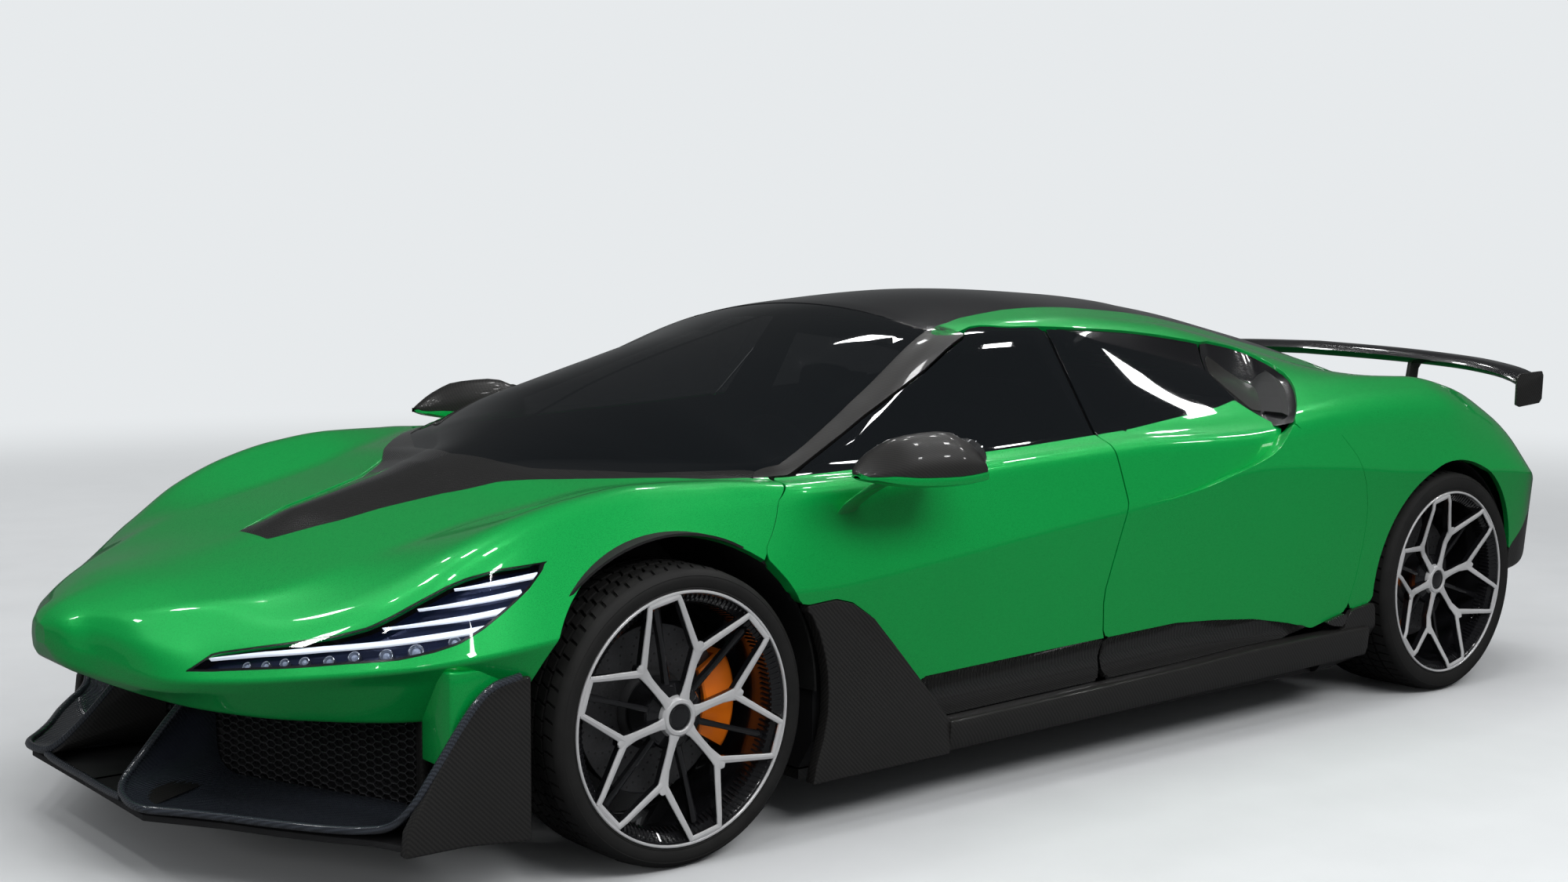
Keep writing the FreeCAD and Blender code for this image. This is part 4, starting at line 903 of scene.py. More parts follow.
def settled(thing):
    """The mesh that an object's modifiers give, which are then removed."""
    made = bpy.data.meshes.new_from_object(thing.evaluated_get(bpy.context.evaluated_depsgraph_get()))
    thing.modifiers.clear()
    return made


def dressed_mesh(thing, crisp):
    """Smooth shading, with the edges left crisp that turn by more than an angle."""
    thing.data.polygons.foreach_set("use_smooth", [True] * len(thing.data.polygons))
    thing.data.set_sharp_from_angle(angle=math.radians(crisp))


def form(name, shape, finish, body="chassis", replaces=(), slot=None, bevel=0.0, steps=2, crisp=35.0,
         shell=False):
    """A solid piece from points and faces in mm, its edges eased and its faces outwards."""
    mesh = mesh_of(name, shape)
    faced(mesh, True, not shell)
    mesh.materials.append(finish.material)
    thing = new_object(name, mesh)
    if bevel:
        ease = thing.modifiers.new("eased_edges", "BEVEL")
        ease.width, ease.segments, ease.limit_method, ease.angle_limit = bevel / 1000, steps, "ANGLE", 0.6
        thing.data = settled(thing)
        thing.data.name = name
    dressed_mesh(thing, crisp)
    return mounted(thing, body, replaces, slot)


ROCKER_DIP = 0.022                      # how far the rocker's face falls in, at its highest part


def rocker_dip(p):
    """The rocker's face falls in under the paint and comes out again to the blade's ridge."""
    low = np.interp(p[:, 0], (-1.26, -0.631, -0.086, 0.549), (0.262, 0.258, 0.240, 0.226))
    top_line = np.interp(p[:, 0], *(np.array(GREEN_LOW[::-1]).T / 1000))
    t = np.clip((p[:, 2] - low) / np.maximum(top_line - low, 0.01), 0, 1)
    depth = 0.004 + ROCKER_DIP * np.clip((top_line - low - 0.02) / 0.07, 0, 1)
    flush = np.clip((-0.88 - p[:, 0]) / 0.10, 0, 1)
    return (0.003 + depth * np.sin(math.pi * np.clip(t, 0, 1) ** 0.8)) * (1 - flush) - SILL_PROUD * flush


rockers = [skin.trimmed(on(side(line), off(green_edge))).sunk(rocker_dip).shaded().turned_in(TURN)
           for line in (front_door_line, rear_door_line)]
door_pieces("rocker", *rockers, gloss_carbon, "carbon")

FOOT_FRONT, FOOT_REAR = (1025, 132), (C_X + 36, 165)    # the blade's lower edge
blade_rows = []
for x in np.linspace(552, C_X + 32, 40):
    foot = FOOT_FRONT[1] + ((FOOT_REAR[1] - FOOT_FRONT[1]) * (FOOT_FRONT[0] - x)
                            / (FOOT_FRONT[0] - FOOT_REAR[0]))
    crest = at(BLADE_TOP, max(x, C_X + 145)) - 1 if x < 549 else 225
    blade_rows.append([(x, 940, foot + 4), (x, 962, foot), (x, 978, foot + 6), (x, 986, foot + 30),
                       (x, 990, crest - 22), (x, 991, crest - 9), (x, 988, crest - 2), (x, 980, crest),
                       (x, 950, crest + 3), (x, 940, crest)])
fin_front = [(968, 246), (957, 300), (955, 350), (958, 400), (968, 450), (985, 500), (1010, 548), (1021, 556)]
fin_outline = ([(549, 139), (1000, 133), (990, 180)] + fin_front + FIN[3:])
fin_plate = outline_solid(fin_outline, 950, 984)
form("sill_blade_pieces", pair(together(loft(blade_rows), fin_plate)), satin_carbon, replaces=["sill_blades"],
     slot="carbon", bevel=4, steps=3, crisp=50)


# ---- Splitter: one wet-laid carbon moulding screwed up under the nose, with a bowl in front of each intake, a
# rounded lip, end plates and a plain tray. LIP and BACK are the bowl's edges (x, y, z) in mm, middle outwards.
LIP = [(2205, 182, 392), (2262, 184, 338), (2330, 190, 266), (2390, 208, 208), (2411, 262, 186),
       (2412, 360, 182), (2352, 450, 182), (2300, 530, 182), (2232, 650, 183), (2160, 762, 184),
       (2112, 826, 188), (2076, 880, 202), (2050, 928, 250), (2012, 946, 315), (1944, 952, 413),
       (1902, 953, 462), (1862, 953, 488), (1800, 952, 500)]
BACK = [(2150, 160, 430), (2148, 158, 385), (2147, 157, 320), (2146, 156, 262), (2142, 166, 212),
        (2128, 200, 184), (2105, 255, 180), (2080, 312, 179), (2032, 425, 179), (1980, 548, 179),
        (1938, 645, 180), (1925, 745, 184), (1925, 850, 214), (1918, 890, 290), (1905, 905, 380),
        (1890, 912, 430), (1860, 915, 455), (1800, 918, 470)]


def eased(points):
    """A smooth line through points that runs straight on at its ends."""
    p = np.array(points, float)
    return curve(np.vstack((2 * p[0] - p[1], p, 2 * p[-1] - p[-2])))


def tube(line, radius, sides=10):
    """A round bar along a line."""
    rings = []
    for i, p in enumerate(line):
        way = unit(line[min(i + 1, len(line) - 1)] - line[max(i - 1, 0)])
        u = unit(np.cross(way, (0, 0, 1.0)) if abs(way[2]) < 0.9 else np.cross(way, (1.0, 0, 0)))
        v = np.cross(way, u)
        rings.append([tuple(p + radius * (math.cos(a) * u + math.sin(a) * v))
                      for a in (2 * math.pi * k / sides for k in range(sides))])
    return loft(rings)


lip_line, back_line = eased(LIP), eased(BACK)
bowl = []
for lip, inner in zip(lip_line, back_line):
    run = []
    for s in np.linspace(0, 1, 15):
        p = lip * (1 - s) + inner * s
        hollow_in = 15 * math.sin(math.pi * min(s * 1.15, 1)) ** 0.8
        run.append((p[0] - 2 * (1 - s), p[1], max(p[2] - hollow_in * (1 if lip[2] < 260 else 0), 170.0)))
    bowl.append(run)
wall = [[(p[0], p[1] - 9, p[2]), (p[0] - 1, p[1] - 11, max(p[2] - 10, 156)), (q[0], q[1] - 12, q[2] - 6)]
        for p, q in zip(lip_line[:26], back_line[:26])]
TRAY_FRONT = [(2404, -10), (2406, 355), (2292, 523), (2224, 645), (2152, 757), (2096, 832), (2060, 925)]
tray = outline_solid([(1800, -10), (1800, 925)] + TRAY_FRONT[::-1], 150, 165, "z")
under = outline_solid([(1800, -10), (1800, 555), (1955, 555), (1955, -10)], 118, 152, "z")
centre_lip = tube(eased([(2409, -2, 176), (2410, 100, 176), (2410, 190, 177), (2408, 240, 180)]), 9)
end_line = [(1776, 134), (1936, 150), (2085, 151), (2078, 205), (2050, 250), (2010, 315), (1944, 413),
            (1900, 462), (1860, 487), (1800, 499), (1776, 499)]
end_plate = outline_solid(end_line, 931, 961)
keel = outline_solid([(1800, 166), (2050, 166), (2110, 200), (2135, 300), (2110, 415), (1800, 425)], -150, 150)
# The bowls' and lip's carbon is lightened and tinted blue-grey over its own dark: a painted reflection of the
# surroundings in its gloss.
carbon_with_painted_reflection = carbon("carbon_with_painted_reflection", TOW, 0.22, 1.0, (0.010, 0.012, 0.016), (0.038, 0.044, 0.056), 0.1)
form("splitter_tray", together(pair(tray), under, flipped(under)), cast_black, slot="carbon", bevel=3)
form("splitter_bowls", pair(loft(bowl, closed=False, capped=False)), carbon_with_painted_reflection, slot="carbon", shell=True,
     crisp=60)
form("splitter_lip", pair(together(tube(lip_line, 9.5), centre_lip)), carbon_with_painted_reflection, replaces=["front_splitter"],
     slot="carbon", crisp=60)
form("splitter_inner_walls", pair(loft(wall, closed=False, capped=False)), satin_carbon, slot="carbon",
     shell=True)
form("splitter_end_plates", pair(end_plate), satin_carbon, slot="carbon", bevel=7, steps=4, crisp=50)
form("splitter_keel", keel, cast_black, slot="black_plastic", bevel=20, steps=4)
strut = loft([[(1800, 806, z), (1960, 806, z), (1961, 880, z), (1955, 922, z), (1940, 930, z), (1800, 930, z)]
              for z in (312, 360, 420, 480, 522)])
form("intake_struts", pair(strut), green, slot="paint", bevel=5, steps=3)


# ---- Intake mesh: moulded six-sided cells across each front opening, with a plain vane at the outer end and a
# dark wall behind. The cells are one unit laid out in columns by a node tree, then fitted to the opening.
class Layout(Finish):
    """A node tree that lays out copies of one unit, written as a finish is."""

    def __init__(self, name, values):
        self.tree = bpy.data.node_groups.new(name, "GeometryNodeTree")
        kinds = {int: "NodeSocketInt", float: "NodeSocketFloat"}
        self.tree.interface.new_socket("Unit", in_out="INPUT", socket_type="NodeSocketGeometry")
        self.sockets = {key: self.tree.interface.new_socket(key, in_out="INPUT", socket_type=kinds[type(v)])
                        for key, v in values.items()}
        self.tree.interface.new_socket("Piece", in_out="OUTPUT", socket_type="NodeSocketGeometry")
        self.enter = self.tree.nodes.new("NodeGroupInput")

    def read(self, key):
        return Wire(self, self.enter.outputs[key])


def repeated(name, unit_shape, finish, lay_out, values):
    """The shape, in mm, of one unit repeated by a node tree: lay_out(tree) returns the copies."""
    tree = Layout(name, values)
    real = tree.node("GeometryNodeRealizeInstances", None, {0: lay_out(tree)})
    dress = tree.node("GeometryNodeSetMaterial", None, {0: real, "Material": finish.material})
    tree.set(0, dress, tree.tree.nodes.new("NodeGroupOutput"))
    unit_mesh = mesh_of(name, unit_shape)
    faced(unit_mesh, False, True)
    maker = new_object(name, unit_mesh)
    spreader = maker.modifiers.new(name, "NODES")
    spreader.node_group = tree.tree
    for key, value in values.items():
        spreader[tree.sockets[key].identifier] = value
    made = settled(maker)
    points = np.empty(len(made.vertices) * 3)
    made.vertices.foreach_get("co", points)
    bpy.data.objects.remove(maker)
    faces = [tuple(f.vertices) for f in made.polygons]
    return [tuple(1000 * c for c in p) for p in points.reshape(-1, 3)], faces


def placed(name, shape, finish, body="chassis", replaces=(), slot=None, crisp=35.0):
    """A finished object from a repeated shape whose faces already point outwards."""
    thing = new_object(name, mesh_of(name, shape))
    thing.data.materials.append(finish.material)
    dressed_mesh(thing, crisp)
    return mounted(thing, body, replaces, slot)


def honeycomb(tree):
    """Columns of the unit side by side: every other one is half a cell higher."""
    index, rows = tree.node("GeometryNodeInputIndex"), tree.read("Rows")
    column = (index / rows).floor()
    up = (index % rows + (column % 2.0) * 0.5) * tree.read("Pitch up")
    spot = tree.node("ShaderNodeCombineXYZ", None, {0: column * tree.read("Pitch along"), 2: up})
    spots = tree.node("GeometryNodePoints", None, {0: tree.read("Columns") * rows, 1: spot})
    return tree.node("GeometryNodeInstanceOnPoints", None, {"Points": spots, "Instance": tree.read("Unit")})


CELL_W, CELL_H, BAR = 30.0, 18.0, 3.6
hexagon = [(-0.5, 0), (-0.25, -0.5), (0.25, -0.5), (0.5, 0), (0.25, 0.5), (-0.25, 0.5)]
cell_unit = loft([[(u * (CELL_W + 2.4 + grow * 1.1), depth, v * (CELL_H + 0.4 + grow)) for u, v in hexagon]
                  for grow, depth in ((0, 0), (-BAR, 1), (-BAR, 12), (0, 12))], capped=False)
CELL_PITCH = {"Pitch along": CELL_W * 0.75 / 1000, "Pitch up": CELL_H / 1000}
GRILLE_A, GRILLE_B = np.array((2146, 156.0)), np.array((1915, 696.0))
grille_run = float(np.linalg.norm(GRILLE_B - GRILLE_A))
way = (GRILLE_B - GRILLE_A) / grille_run
comb = repeated("intake_mesh_maker", cell_unit, cast_black, honeycomb,
                {"Columns": int(grille_run / (CELL_W * 0.75)) + 1, "Rows": 14, **CELL_PITCH})
mesh_points = []
for x, y, z in comb[0]:
    flat = GRILLE_A + way * (x + 6) + np.array((-way[1], way[0])) * (y + 4)
    mesh_points.append((flat[0], flat[1], 182 + z))
mesh_gloss = worn("intake_mesh_black", 60.0, (0.018, 0.018, 0.020), (0.040, 0.040, 0.043), 0.18, 0.34,
                  Coat_Weight=1.0, Coat_Roughness=0.12)
placed("intake_mesh", pair((mesh_points, comb[1])), mesh_gloss, replaces=["front_grilles"],
       slot="black_plastic")
vane = outline_solid([(1915, 697), (1957, 798), (1942, 800), (1898, 699)], 180, 462, "z")
form("intake_vanes", pair(vane), satin_carbon, slot="carbon", bevel=4)
back_wall = outline_solid([(2106, 150), (1880, 680), (1900, 800), (1892, 800), (1866, 684), (2094, 146)],
                          176, 430, "z")
form("intake_back_walls", pair(back_wall), cast_black, slot="black_plastic")


# ---- Wheels: forged rims with machined Y spokes over a black barrel, on low, round-shouldered tyres; behind
# them a drilled steel disc that turns with the wheel and an orange caliper bolted to the hub carrier. The
# unit of each repeat is drawn about an axle at the origin and turned round it by a node tree.
def turned(profile, steps=144, closed=False):
    """A profile of (radius, y) in mm turned about the axle, which lies at the origin along y."""
    rings = [[(r * math.cos(2 * math.pi * k / steps), y, r * math.sin(2 * math.pi * k / steps))
              for r, y in profile] for k in range(steps)]
    n = len(profile)
    points = [p for ring in rings for p in ring]
    faces = []
    for k in range(steps):
        after = (k + 1) % steps
        for i in range(n if closed else n - 1):
            j = (i + 1) % n
            faces.append((k * n + i, k * n + j, after * n + j, after * n + i))
    return points, faces


def moved(shape, x, z):
    """The shape moved forward and up, in mm."""
    return [(p[0] + x, p[1], p[2] + z) for p in shape[0]], shape[1]


def about_axle(tree):
    """Count copies of the unit, evenly turned about the y axis."""
    count = tree.read("Count")
    angle = tree.node("GeometryNodeInputIndex") / count * (-2 * math.pi) + tree.read("First angle")
    turn = tree.node("FunctionNodeEulerToRotation", None,
                     {0: tree.node("ShaderNodeCombineXYZ", None, {1: angle})})
    spots = tree.node("GeometryNodePoints", None, {0: count})
    return tree.node("GeometryNodeInstanceOnPoints", None,
                     {"Points": spots, "Instance": tree.read("Unit"), "Rotation": turn})


def circled(name, unit_shape, finish, count, first=0.0):
    """The unit repeated about the axle, the first copy at an angle in degrees."""
    return repeated(name, unit_shape, finish, about_axle, {"Count": count, "First angle": math.radians(first)})


machined = Finish("machined_silver", (0.74, 0.74, 0.75), 0.36, 0.5, Coat_Weight=0.4, Coat_Roughness=0.1)
machined.set("Roughness", 0.26 + machined.cloud(900.0) * 0.12)
machined.set("Base Color", machined.blend(machined.cloud(30.0, 3.0), (0.68, 0.68, 0.69), (0.82, 0.82, 0.83)))
rim_black = Finish("rim_black_gloss", (0.006, 0.006, 0.007), 0.2, 0.0, Coat_Weight=1.0, Coat_Roughness=0.04)
rim_black.set("Roughness", 0.18 + rim_black.cloud(50.0) * 0.12)
rubber = worn("tyre_rubber", 22.0, (0.008, 0.008, 0.008), (0.018, 0.0175, 0.017), 0.60, 0.80)
rubber.emboss(rubber.cloud(900.0, 2.0), 0.00025, 0.6)
steel = Finish("disc_steel", (0.26, 0.26, 0.27), 0.34, 0.9)
scratch = steel.cloud(160.0, 4.0)
steel.set("Base Color", steel.blend(scratch, (0.11, 0.11, 0.115), (0.20, 0.20, 0.205)))
steel.set("Roughness", 0.28 + scratch * 0.2)
hat_black = worn("disc_hat_black", 30.0, (0.016, 0.016, 0.017), (0.035, 0.035, 0.036), 0.42, 0.6)
orange = worn("caliper_orange", 24.0, (0.86, 0.20, 0.008), (0.74, 0.15, 0.006), 0.26, 0.38,
              Coat_Weight=0.8, Coat_Roughness=0.06)

# axle, tyre radius, rim radius, width, y of the outer face and how deep the spokes are dished, in mm
WHEELS = {"front": (FRONT_AXLE, 350, 296, 265, 985, 36), "rear": (REAR_AXLE, 355, 291, 305, 990, 57)}
TREAD_PITCHES, SPOKES, FIRST_SPOKE = 60, 6, -48
BLOCK_FACES = [(0, 1, 3, 2), (4, 6, 7, 5), (0, 2, 6, 4), (1, 5, 7, 3), (0, 4, 5, 1), (2, 3, 7, 6)]


def polar(r, degrees, y):
    """A point at a radius and an angle about the axle."""
    return (r * math.cos(math.radians(degrees)), y, r * math.sin(math.radians(degrees)))


def bar_along(stations, section):
    """A bar along stations of (x, z, half width, y of its face), with a section that follows the half width."""
    rings = []
    for i, (x, z, half, y) in enumerate(stations):
        (x0, z0), (x1, z1) = (stations[k][:2] for k in (max(i - 1, 0), min(i + 1, len(stations) - 1)))
        n = unit(np.array((z0 - z1, x1 - x0)))
        rings.append([(x + n[0] * w, y + h, z + n[1] * w) for w, h in section(half)])
    return loft(rings)


def strip(stations, lift):
    """The machined face of a bar: a shallow ridge down the middle, thin."""
    return bar_along(stations, lambda half: (
        (half, -3.0), (half, 0.0), (half * 0.82, lift * 0.45), (0, lift), (-half * 0.82, lift * 0.45),
        (-half, 0.0), (-half, -3.0)))


def spine(stations, deep):
    """The black web under a bar."""
    return bar_along(stations, lambda half: (
        (half - 0.6, -1.0), (half * 0.8, -deep), (-half * 0.8, -deep), (-half + 0.6, -1.0)))


for end, (axle, tyre_r, rim_r, width, face_y, dish) in WHEELS.items():
    back_y = face_y - width
    well = rim_r - 34
    mid = (face_y + back_y) / 2
    side_wall = [(rim_r - 4, face_y - 14), (rim_r + 2, face_y - 7), (rim_r + 5, face_y - 3.4),
                 (rim_r + 7, face_y - 4.4), (rim_r + 9, face_y - 3.0), (rim_r + 16, face_y - 1.2),
                 (rim_r + 24, face_y - 0.3), (tyre_r - 24, face_y - 1.0), (tyre_r - 21, face_y - 2.4),
                 (tyre_r - 19.5, face_y - 1.9), (tyre_r - 15, face_y - 5.0), (tyre_r - 10, face_y - 10),
                 (tyre_r - 6, face_y - 17), (tyre_r - 4.6, face_y - 24)]
    crown = [(tyre_r - 8, face_y - 30), (tyre_r - 8, mid)]
    half = side_wall + crown
    profile = half + [(r, 2 * mid - y) for r, y in half[::-1][1:]]
    blocks = []
    angle = 360 / TREAD_PITCHES
    edges = np.linspace(face_y - 23, back_y + 23, 7)
    for k in range(6):
        y0, y1 = edges[k] - (4.5 if k else 0), edges[k + 1] + (4.5 if k < 5 else 0)
        skew = 1.6 * (1 if k < 3 else -1)
        drop0, drop1 = (5.0 if k == 0 else 0.4), (5.0 if k == 5 else 0.4)
        p = [polar(radius - drop * top_face, around + lean, yy)
             for radius, top_face in ((tyre_r - 9.5, 0), (tyre_r, 1))
             for yy, drop, lean in ((y0, drop0, 0), (y1, drop1, skew))
             for around in (0.25, angle - (0.75 if k in (2, 3) else 0.95))]
        blocks.append((p, BLOCK_FACES))
    tread = circled("tyre_tread_" + end, together(*blocks), rubber, TREAD_PITCHES)
    tyre = together(turned(profile, 120), tread)

    def rise(r):
        """The y of a spoke's face: it climbs from the hub to the rim."""
        t = min(max((r - 120) / (rim_r - 26 - 120), 0), 1)
        return (face_y - dish + 8) * (1 - t) + (face_y - 4.6) * t

    s = rim_r / 296
    stem = [(u * s, 0, w, rise(u * s)) for u, w in
            ((43, 15), (58, 11), (90, 9.6), (125, 10), (148, 12.5), (166, 16), (176, 10), (180, 3))]
    bars = [stem]
    for flip in (1, -1):
        foot, tip = np.array((158 * s, flip * 2.0)), np.array(polar(rim_r - 9, flip * 22, 0))[[0, 2]]
        spots = [(foot * (1 - t) + tip * t, 8.6 - 2.2 * t) for t in np.linspace(0, 1, 7)]
        bars.append([(*spot, half, rise(float(np.linalg.norm(spot)))) for spot, half in spots])
        c0, c1 = (np.array(polar(r, flip * a, 0))[[0, 2]]
                  for r, a in ((rim_r - 10, 21.4), ((rim_r - 10) * 0.99, 30.2)))
        bars.append([(*(c0 * (1 - t) + c1 * t), 7.0, face_y - 4.9) for t in np.linspace(0, 1, 3)])
    faces_unit = together(*[strip(b, 2.4) for b in bars])
    webs_unit = together(*[spine(b, 22 if len(b) > 3 else 14) for b in bars])
    rim_faces = circled("rim_faces_" + end, faces_unit, machined, SPOKES, FIRST_SPOKE)
    # inner spokes from the bolt pockets to the rim, the pockets and their bolts
    low = face_y - dish - 18
    inner_bar = [(u, 0, w, low + (u - 60) * 0.06)
                 for u, w in ((56, 13), (78, 8), (140, 6.5), (200, 7), (well + 2, 10))]
    inner = circled("rim_inner_spokes_" + end, webs_unit, rim_black, SPOKES, FIRST_SPOKE)
    dark = circled("rim_dark_bars_" + end, together(strip(inner_bar, 3.0), spine(inner_bar, 16)), rim_black,
                   SPOKES, FIRST_SPOKE + 30)
    ribs = []
    for y0, y1, r0, r1 in ((face_y - 12, face_y - 28, rim_r - 10, well + 6),
                           (face_y - 30, face_y - 58, well + 6, well)):
        lean = 0.5 if y0 == face_y - 12 else -0.5
        p = [polar((r0 if yy == y0 else r1) - tall, a + (lean if yy == y1 else -lean), yy)
             for tall in (-0.6, 3.6) for yy in (y0, y1) for a in (-0.5, 0.5)]
        ribs.append((p, BLOCK_FACES))
    knurl = circled("rim_barrel_ribs_" + end, together(*ribs), rim_black, 132)
    bolt = loft([[polar(rr, a, low + yy) for a in range(0, 360, 60)] for rr, yy in ((8, -6), (8, 7), (6.6, 8))])
    pocket = loft([[polar(rr, a, low + yy) for a in range(0, 360, 20)]
                   for rr, yy in ((15, -10), (15, 6), (13.5, 7), (11.5, 6), (11.5, -10))], capped=False)
    bolts = circled("rim_bolts_" + end, moved(together(bolt, pocket), 60, 0), rim_black, SPOKES,
                    FIRST_SPOKE + 30)
    barrel = turned([(rim_r - 5, face_y - 7), (rim_r - 8, face_y - 8), (rim_r - 11, face_y - 14),
                     (well + 6, face_y - 26), (well, face_y - 60), (well, back_y + 60),
                     (well + 8, back_y + 44), (well + 8, back_y + 12), (rim_r - 2, back_y + 4)])
    lip_ring = turned([(rim_r + 1, face_y - 12), (rim_r + 1, face_y - 4.6), (rim_r - 1, face_y - 2.6),
                       (rim_r - 4.5, face_y - 2.6), (rim_r - 6, face_y - 4.5), (rim_r - 6.5, face_y - 12)])
    hub_y = face_y - dish
    collar = turned([(31, hub_y), (31, hub_y + 10), (34, hub_y + 12.5), (41, hub_y + 11.5), (47, hub_y + 6),
                     (50, hub_y - 2), (52, hub_y - 16)], 72)
    cap = turned([(0.01, hub_y + 9), (18, hub_y + 9), (24, hub_y + 8), (27, hub_y + 9.5), (30, hub_y + 8.5),
                  (31.5, hub_y + 3)], 72)
    drum = turned([(50, hub_y - 4), (76, hub_y - 14), (80, hub_y - 20), (80, face_y - 140),
                   (40, face_y - 140)], 72)
    disc_r = rim_r - 96
    disc = turned([(66, face_y - 142), (disc_r - 1.5, face_y - 142), (disc_r, face_y - 143.5),
                   (disc_r, face_y - 170.5), (disc_r - 1.5, face_y - 172), (66, face_y - 172)],
                  120, closed=True)
    hat = turned([(36, face_y - 128), (84, face_y - 128), (92, face_y - 134), (96, face_y - 141.6)], 72)
    holes = []
    for k, r in enumerate((112, 128, 144, 160, 176, 190)):
        if r < disc_r - 8:
            x, y, z = polar(r, k * 4.2, face_y - 141.9)
            ring = [(x + 3.2 * math.cos(a), y, z + 3.2 * math.sin(a)) for a in np.arange(8) * math.pi / 4]
            holes.append((ring, [tuple(range(8))[::-1]]))
    drill = circled("disc_holes_" + end, together(*holes), hat_black, 24)

    def jaw(r0, r1, y0, y1, bulge):
        """A length of caliper over the disc, behind the front axle and ahead of the rear one."""
        rings = []
        for a in np.linspace(-31, 31, 25):
            swell = bulge * max(0, math.cos(math.radians(a * 8.7)))
            trim = 5 * (abs(a) / 31) ** 6
            around = a + (0 if end == "rear" else 180)
            corner = [(r0 + trim, y0), (r0 + trim, y1 - 3 + swell * 0.5), (r0 + trim + 5, y1 + swell),
                      ((r0 + r1) / 2, y1 + swell), (r1 - trim - 8, y1 + swell * 0.6), (r1 - trim, y1 - 5),
                      (r1 - trim, y0)]
            rings.append([polar(r, around, y) for r, y in corner])
        return loft(rings)

    caliper = together(jaw(disc_r - 58, disc_r + 33, face_y - 138, face_y - 124, 4),
                       jaw(disc_r - 58, disc_r + 33, face_y - 198, face_y - 177, 0),
                       jaw(disc_r + 5, disc_r + 33, face_y - 198, face_y - 137.5, 0))
    for name, sign in HANDS.items():
        spin = "%s_wheel_%s" % (end, name)

        def put(label, shape, finish, body=spin, **more):
            shape = moved(shape, axle[0], tyre_r)
            placed("%s_%s_%s" % (end, label, name), shape if sign > 0 else flipped(shape), finish, body, **more)

        put("tyre", tyre, rubber, replaces=["%s_tyre_%s" % (end, name)], slot="tyre", crisp=40)
        put("rim_barrel", together(barrel, drum, inner, dark, knurl, bolts, cap), rim_black,
            replaces=["%s_rim_%s" % (end, name)], slot="rim_metal", crisp=30)
        put("rim_machined", together(rim_faces, lip_ring, collar), machined, slot="rim_metal", crisp=14)
        put("disc", disc, steel, replaces=["%s_brake_disc_%s" % (end, name)], slot="disc_steel", crisp=30)
        put("disc_hat_and_holes", together(hat, drill), hat_black, slot="disc_steel")
        put("caliper_body", caliper, orange, body="steer_" + name if end == "front" else "chassis",
            replaces=["front_caliper_" + name] if end == "front" else (["rear_calipers"] if sign > 0 else []),
            slot="caliper_paint", crisp=28)


# ---- Headlamps: a dark blue-black bowl let into each wing behind a clear moulded cover, four light bars of
# frosted plastic and a row of small glass lenses in bright cups along the lower edge.
lamp_area = side(lamp_line)
housing = Finish("lamp_housing", (0.006, 0.010, 0.030), 0.22, 0.55)
sheen = housing.cloud(14.0, 3.0)
housing.set("Base Color", housing.blend(sheen, (0.003, 0.005, 0.016), (0.012, 0.022, 0.075)))
housing.set("Roughness", 0.14 + sheen * 0.2)
glowing = Finish("light_bar", (0.9, 0.93, 1.0), 0.25, 0.0, Emission_Strength=0.55)
glowing.set("Emission Color", glowing.blend(glowing.cloud(90.0), (0.80, 0.88, 1.0), (0.95, 0.98, 1.0)))
bright_rim = Finish("lamp_bright_trim", (0.5, 0.52, 0.56), 0.16, 0.9)
bright_rim.set("Roughness", 0.12 + bright_rim.cloud(120.0) * 0.12)
cover = Finish("lamp_cover", (0.9, 0.95, 1.0), 0.02)
cover.set("Roughness", 0.012 + cover.cloud(12.0) * 0.02)
clear = cover.node("ShaderNodeBsdfTransparent", None, {"Color": (0.92, 0.95, 1.0, 1)})
mirror_like = cover.node("ShaderNodeBsdfGlossy", None, {"Color": (1, 1, 1, 1), "Roughness": 0.02})
facing = cover.node("ShaderNodeFresnel", None, {"IOR": 1.38})
cover.show_mix(facing, clear, mirror_like)

BOWL_DEPTH, EYE_DEPTH = 0.034, 26       # in metres and in mm
lens = skin.trimmed(lamp_area)
piece("lamp_covers", mirrored(lens.trimmed(on(lamp_area, gap=0.0025)).sunk(0.0012)), cover,
      replaces=["headlamps"], slot="lamp_glass")
border = lens.sunk(0.0014).trimmed(lambda p: 0.004 - lamp_area(p))
wall = lens.trimmed(on(lamp_area, gap=0.001)).turned_in(((0.0, 0.002), (0.0, BOWL_DEPTH + 0.004)))
border = border.joined(wall.trimmed(lambda p: 0.0012 - lamp_area(p)))
piece("lamp_borders", mirrored(border), black_lacquer, slot="black_plastic")
piece("lamp_bowls", mirrored(lens.sunk(BOWL_DEPTH)), housing, slot="lamp_glass")
# x, z and height along each bar, rear end first; then x, z and radius of each small lens, in mm
LIGHT_BARS = (((1714, 709, 10), (1800, 698, 8), (1890, 686, 2)),
              ((1762, 677, 10), (1860, 663, 8), (1965, 646, 2)),
              ((1798, 645, 10), (1915, 627, 8), (2034, 608, 2)),
              ((1852, 612, 10), (1990, 589, 9), (2133, 564, 8), (2220, 546, 6), (2300, 526, 3)))
LENSES = ((2258, 524, 6), (2232, 529, 6), (2204, 536, 6.5), (2173, 541, 7), (2139, 546, 7.5), (2099, 556, 8),
          (2051, 562, 9), (1998, 571, 10), (1925, 588, 8))


def on_lens(x, z, deep):
    """The point at (x, z) in side view that lies so deep under the lamp's cover, all in mm."""
    spread = (lens.points[:, 0] - x / 1000) ** 2 + (lens.points[:, 2] - z / 1000) ** 2
    near = np.argsort(spread)[:9]
    q = lens.points[near]
    fit = np.linalg.lstsq(np.stack((np.ones(9), q[:, 0], q[:, 2]), 1), q[:, 1], rcond=None)[0]
    n = unit(lens.normals[near].mean(0))
    return np.array((x, 1000 * (fit @ (1, x / 1000, z / 1000)), z)) - n * deep, n


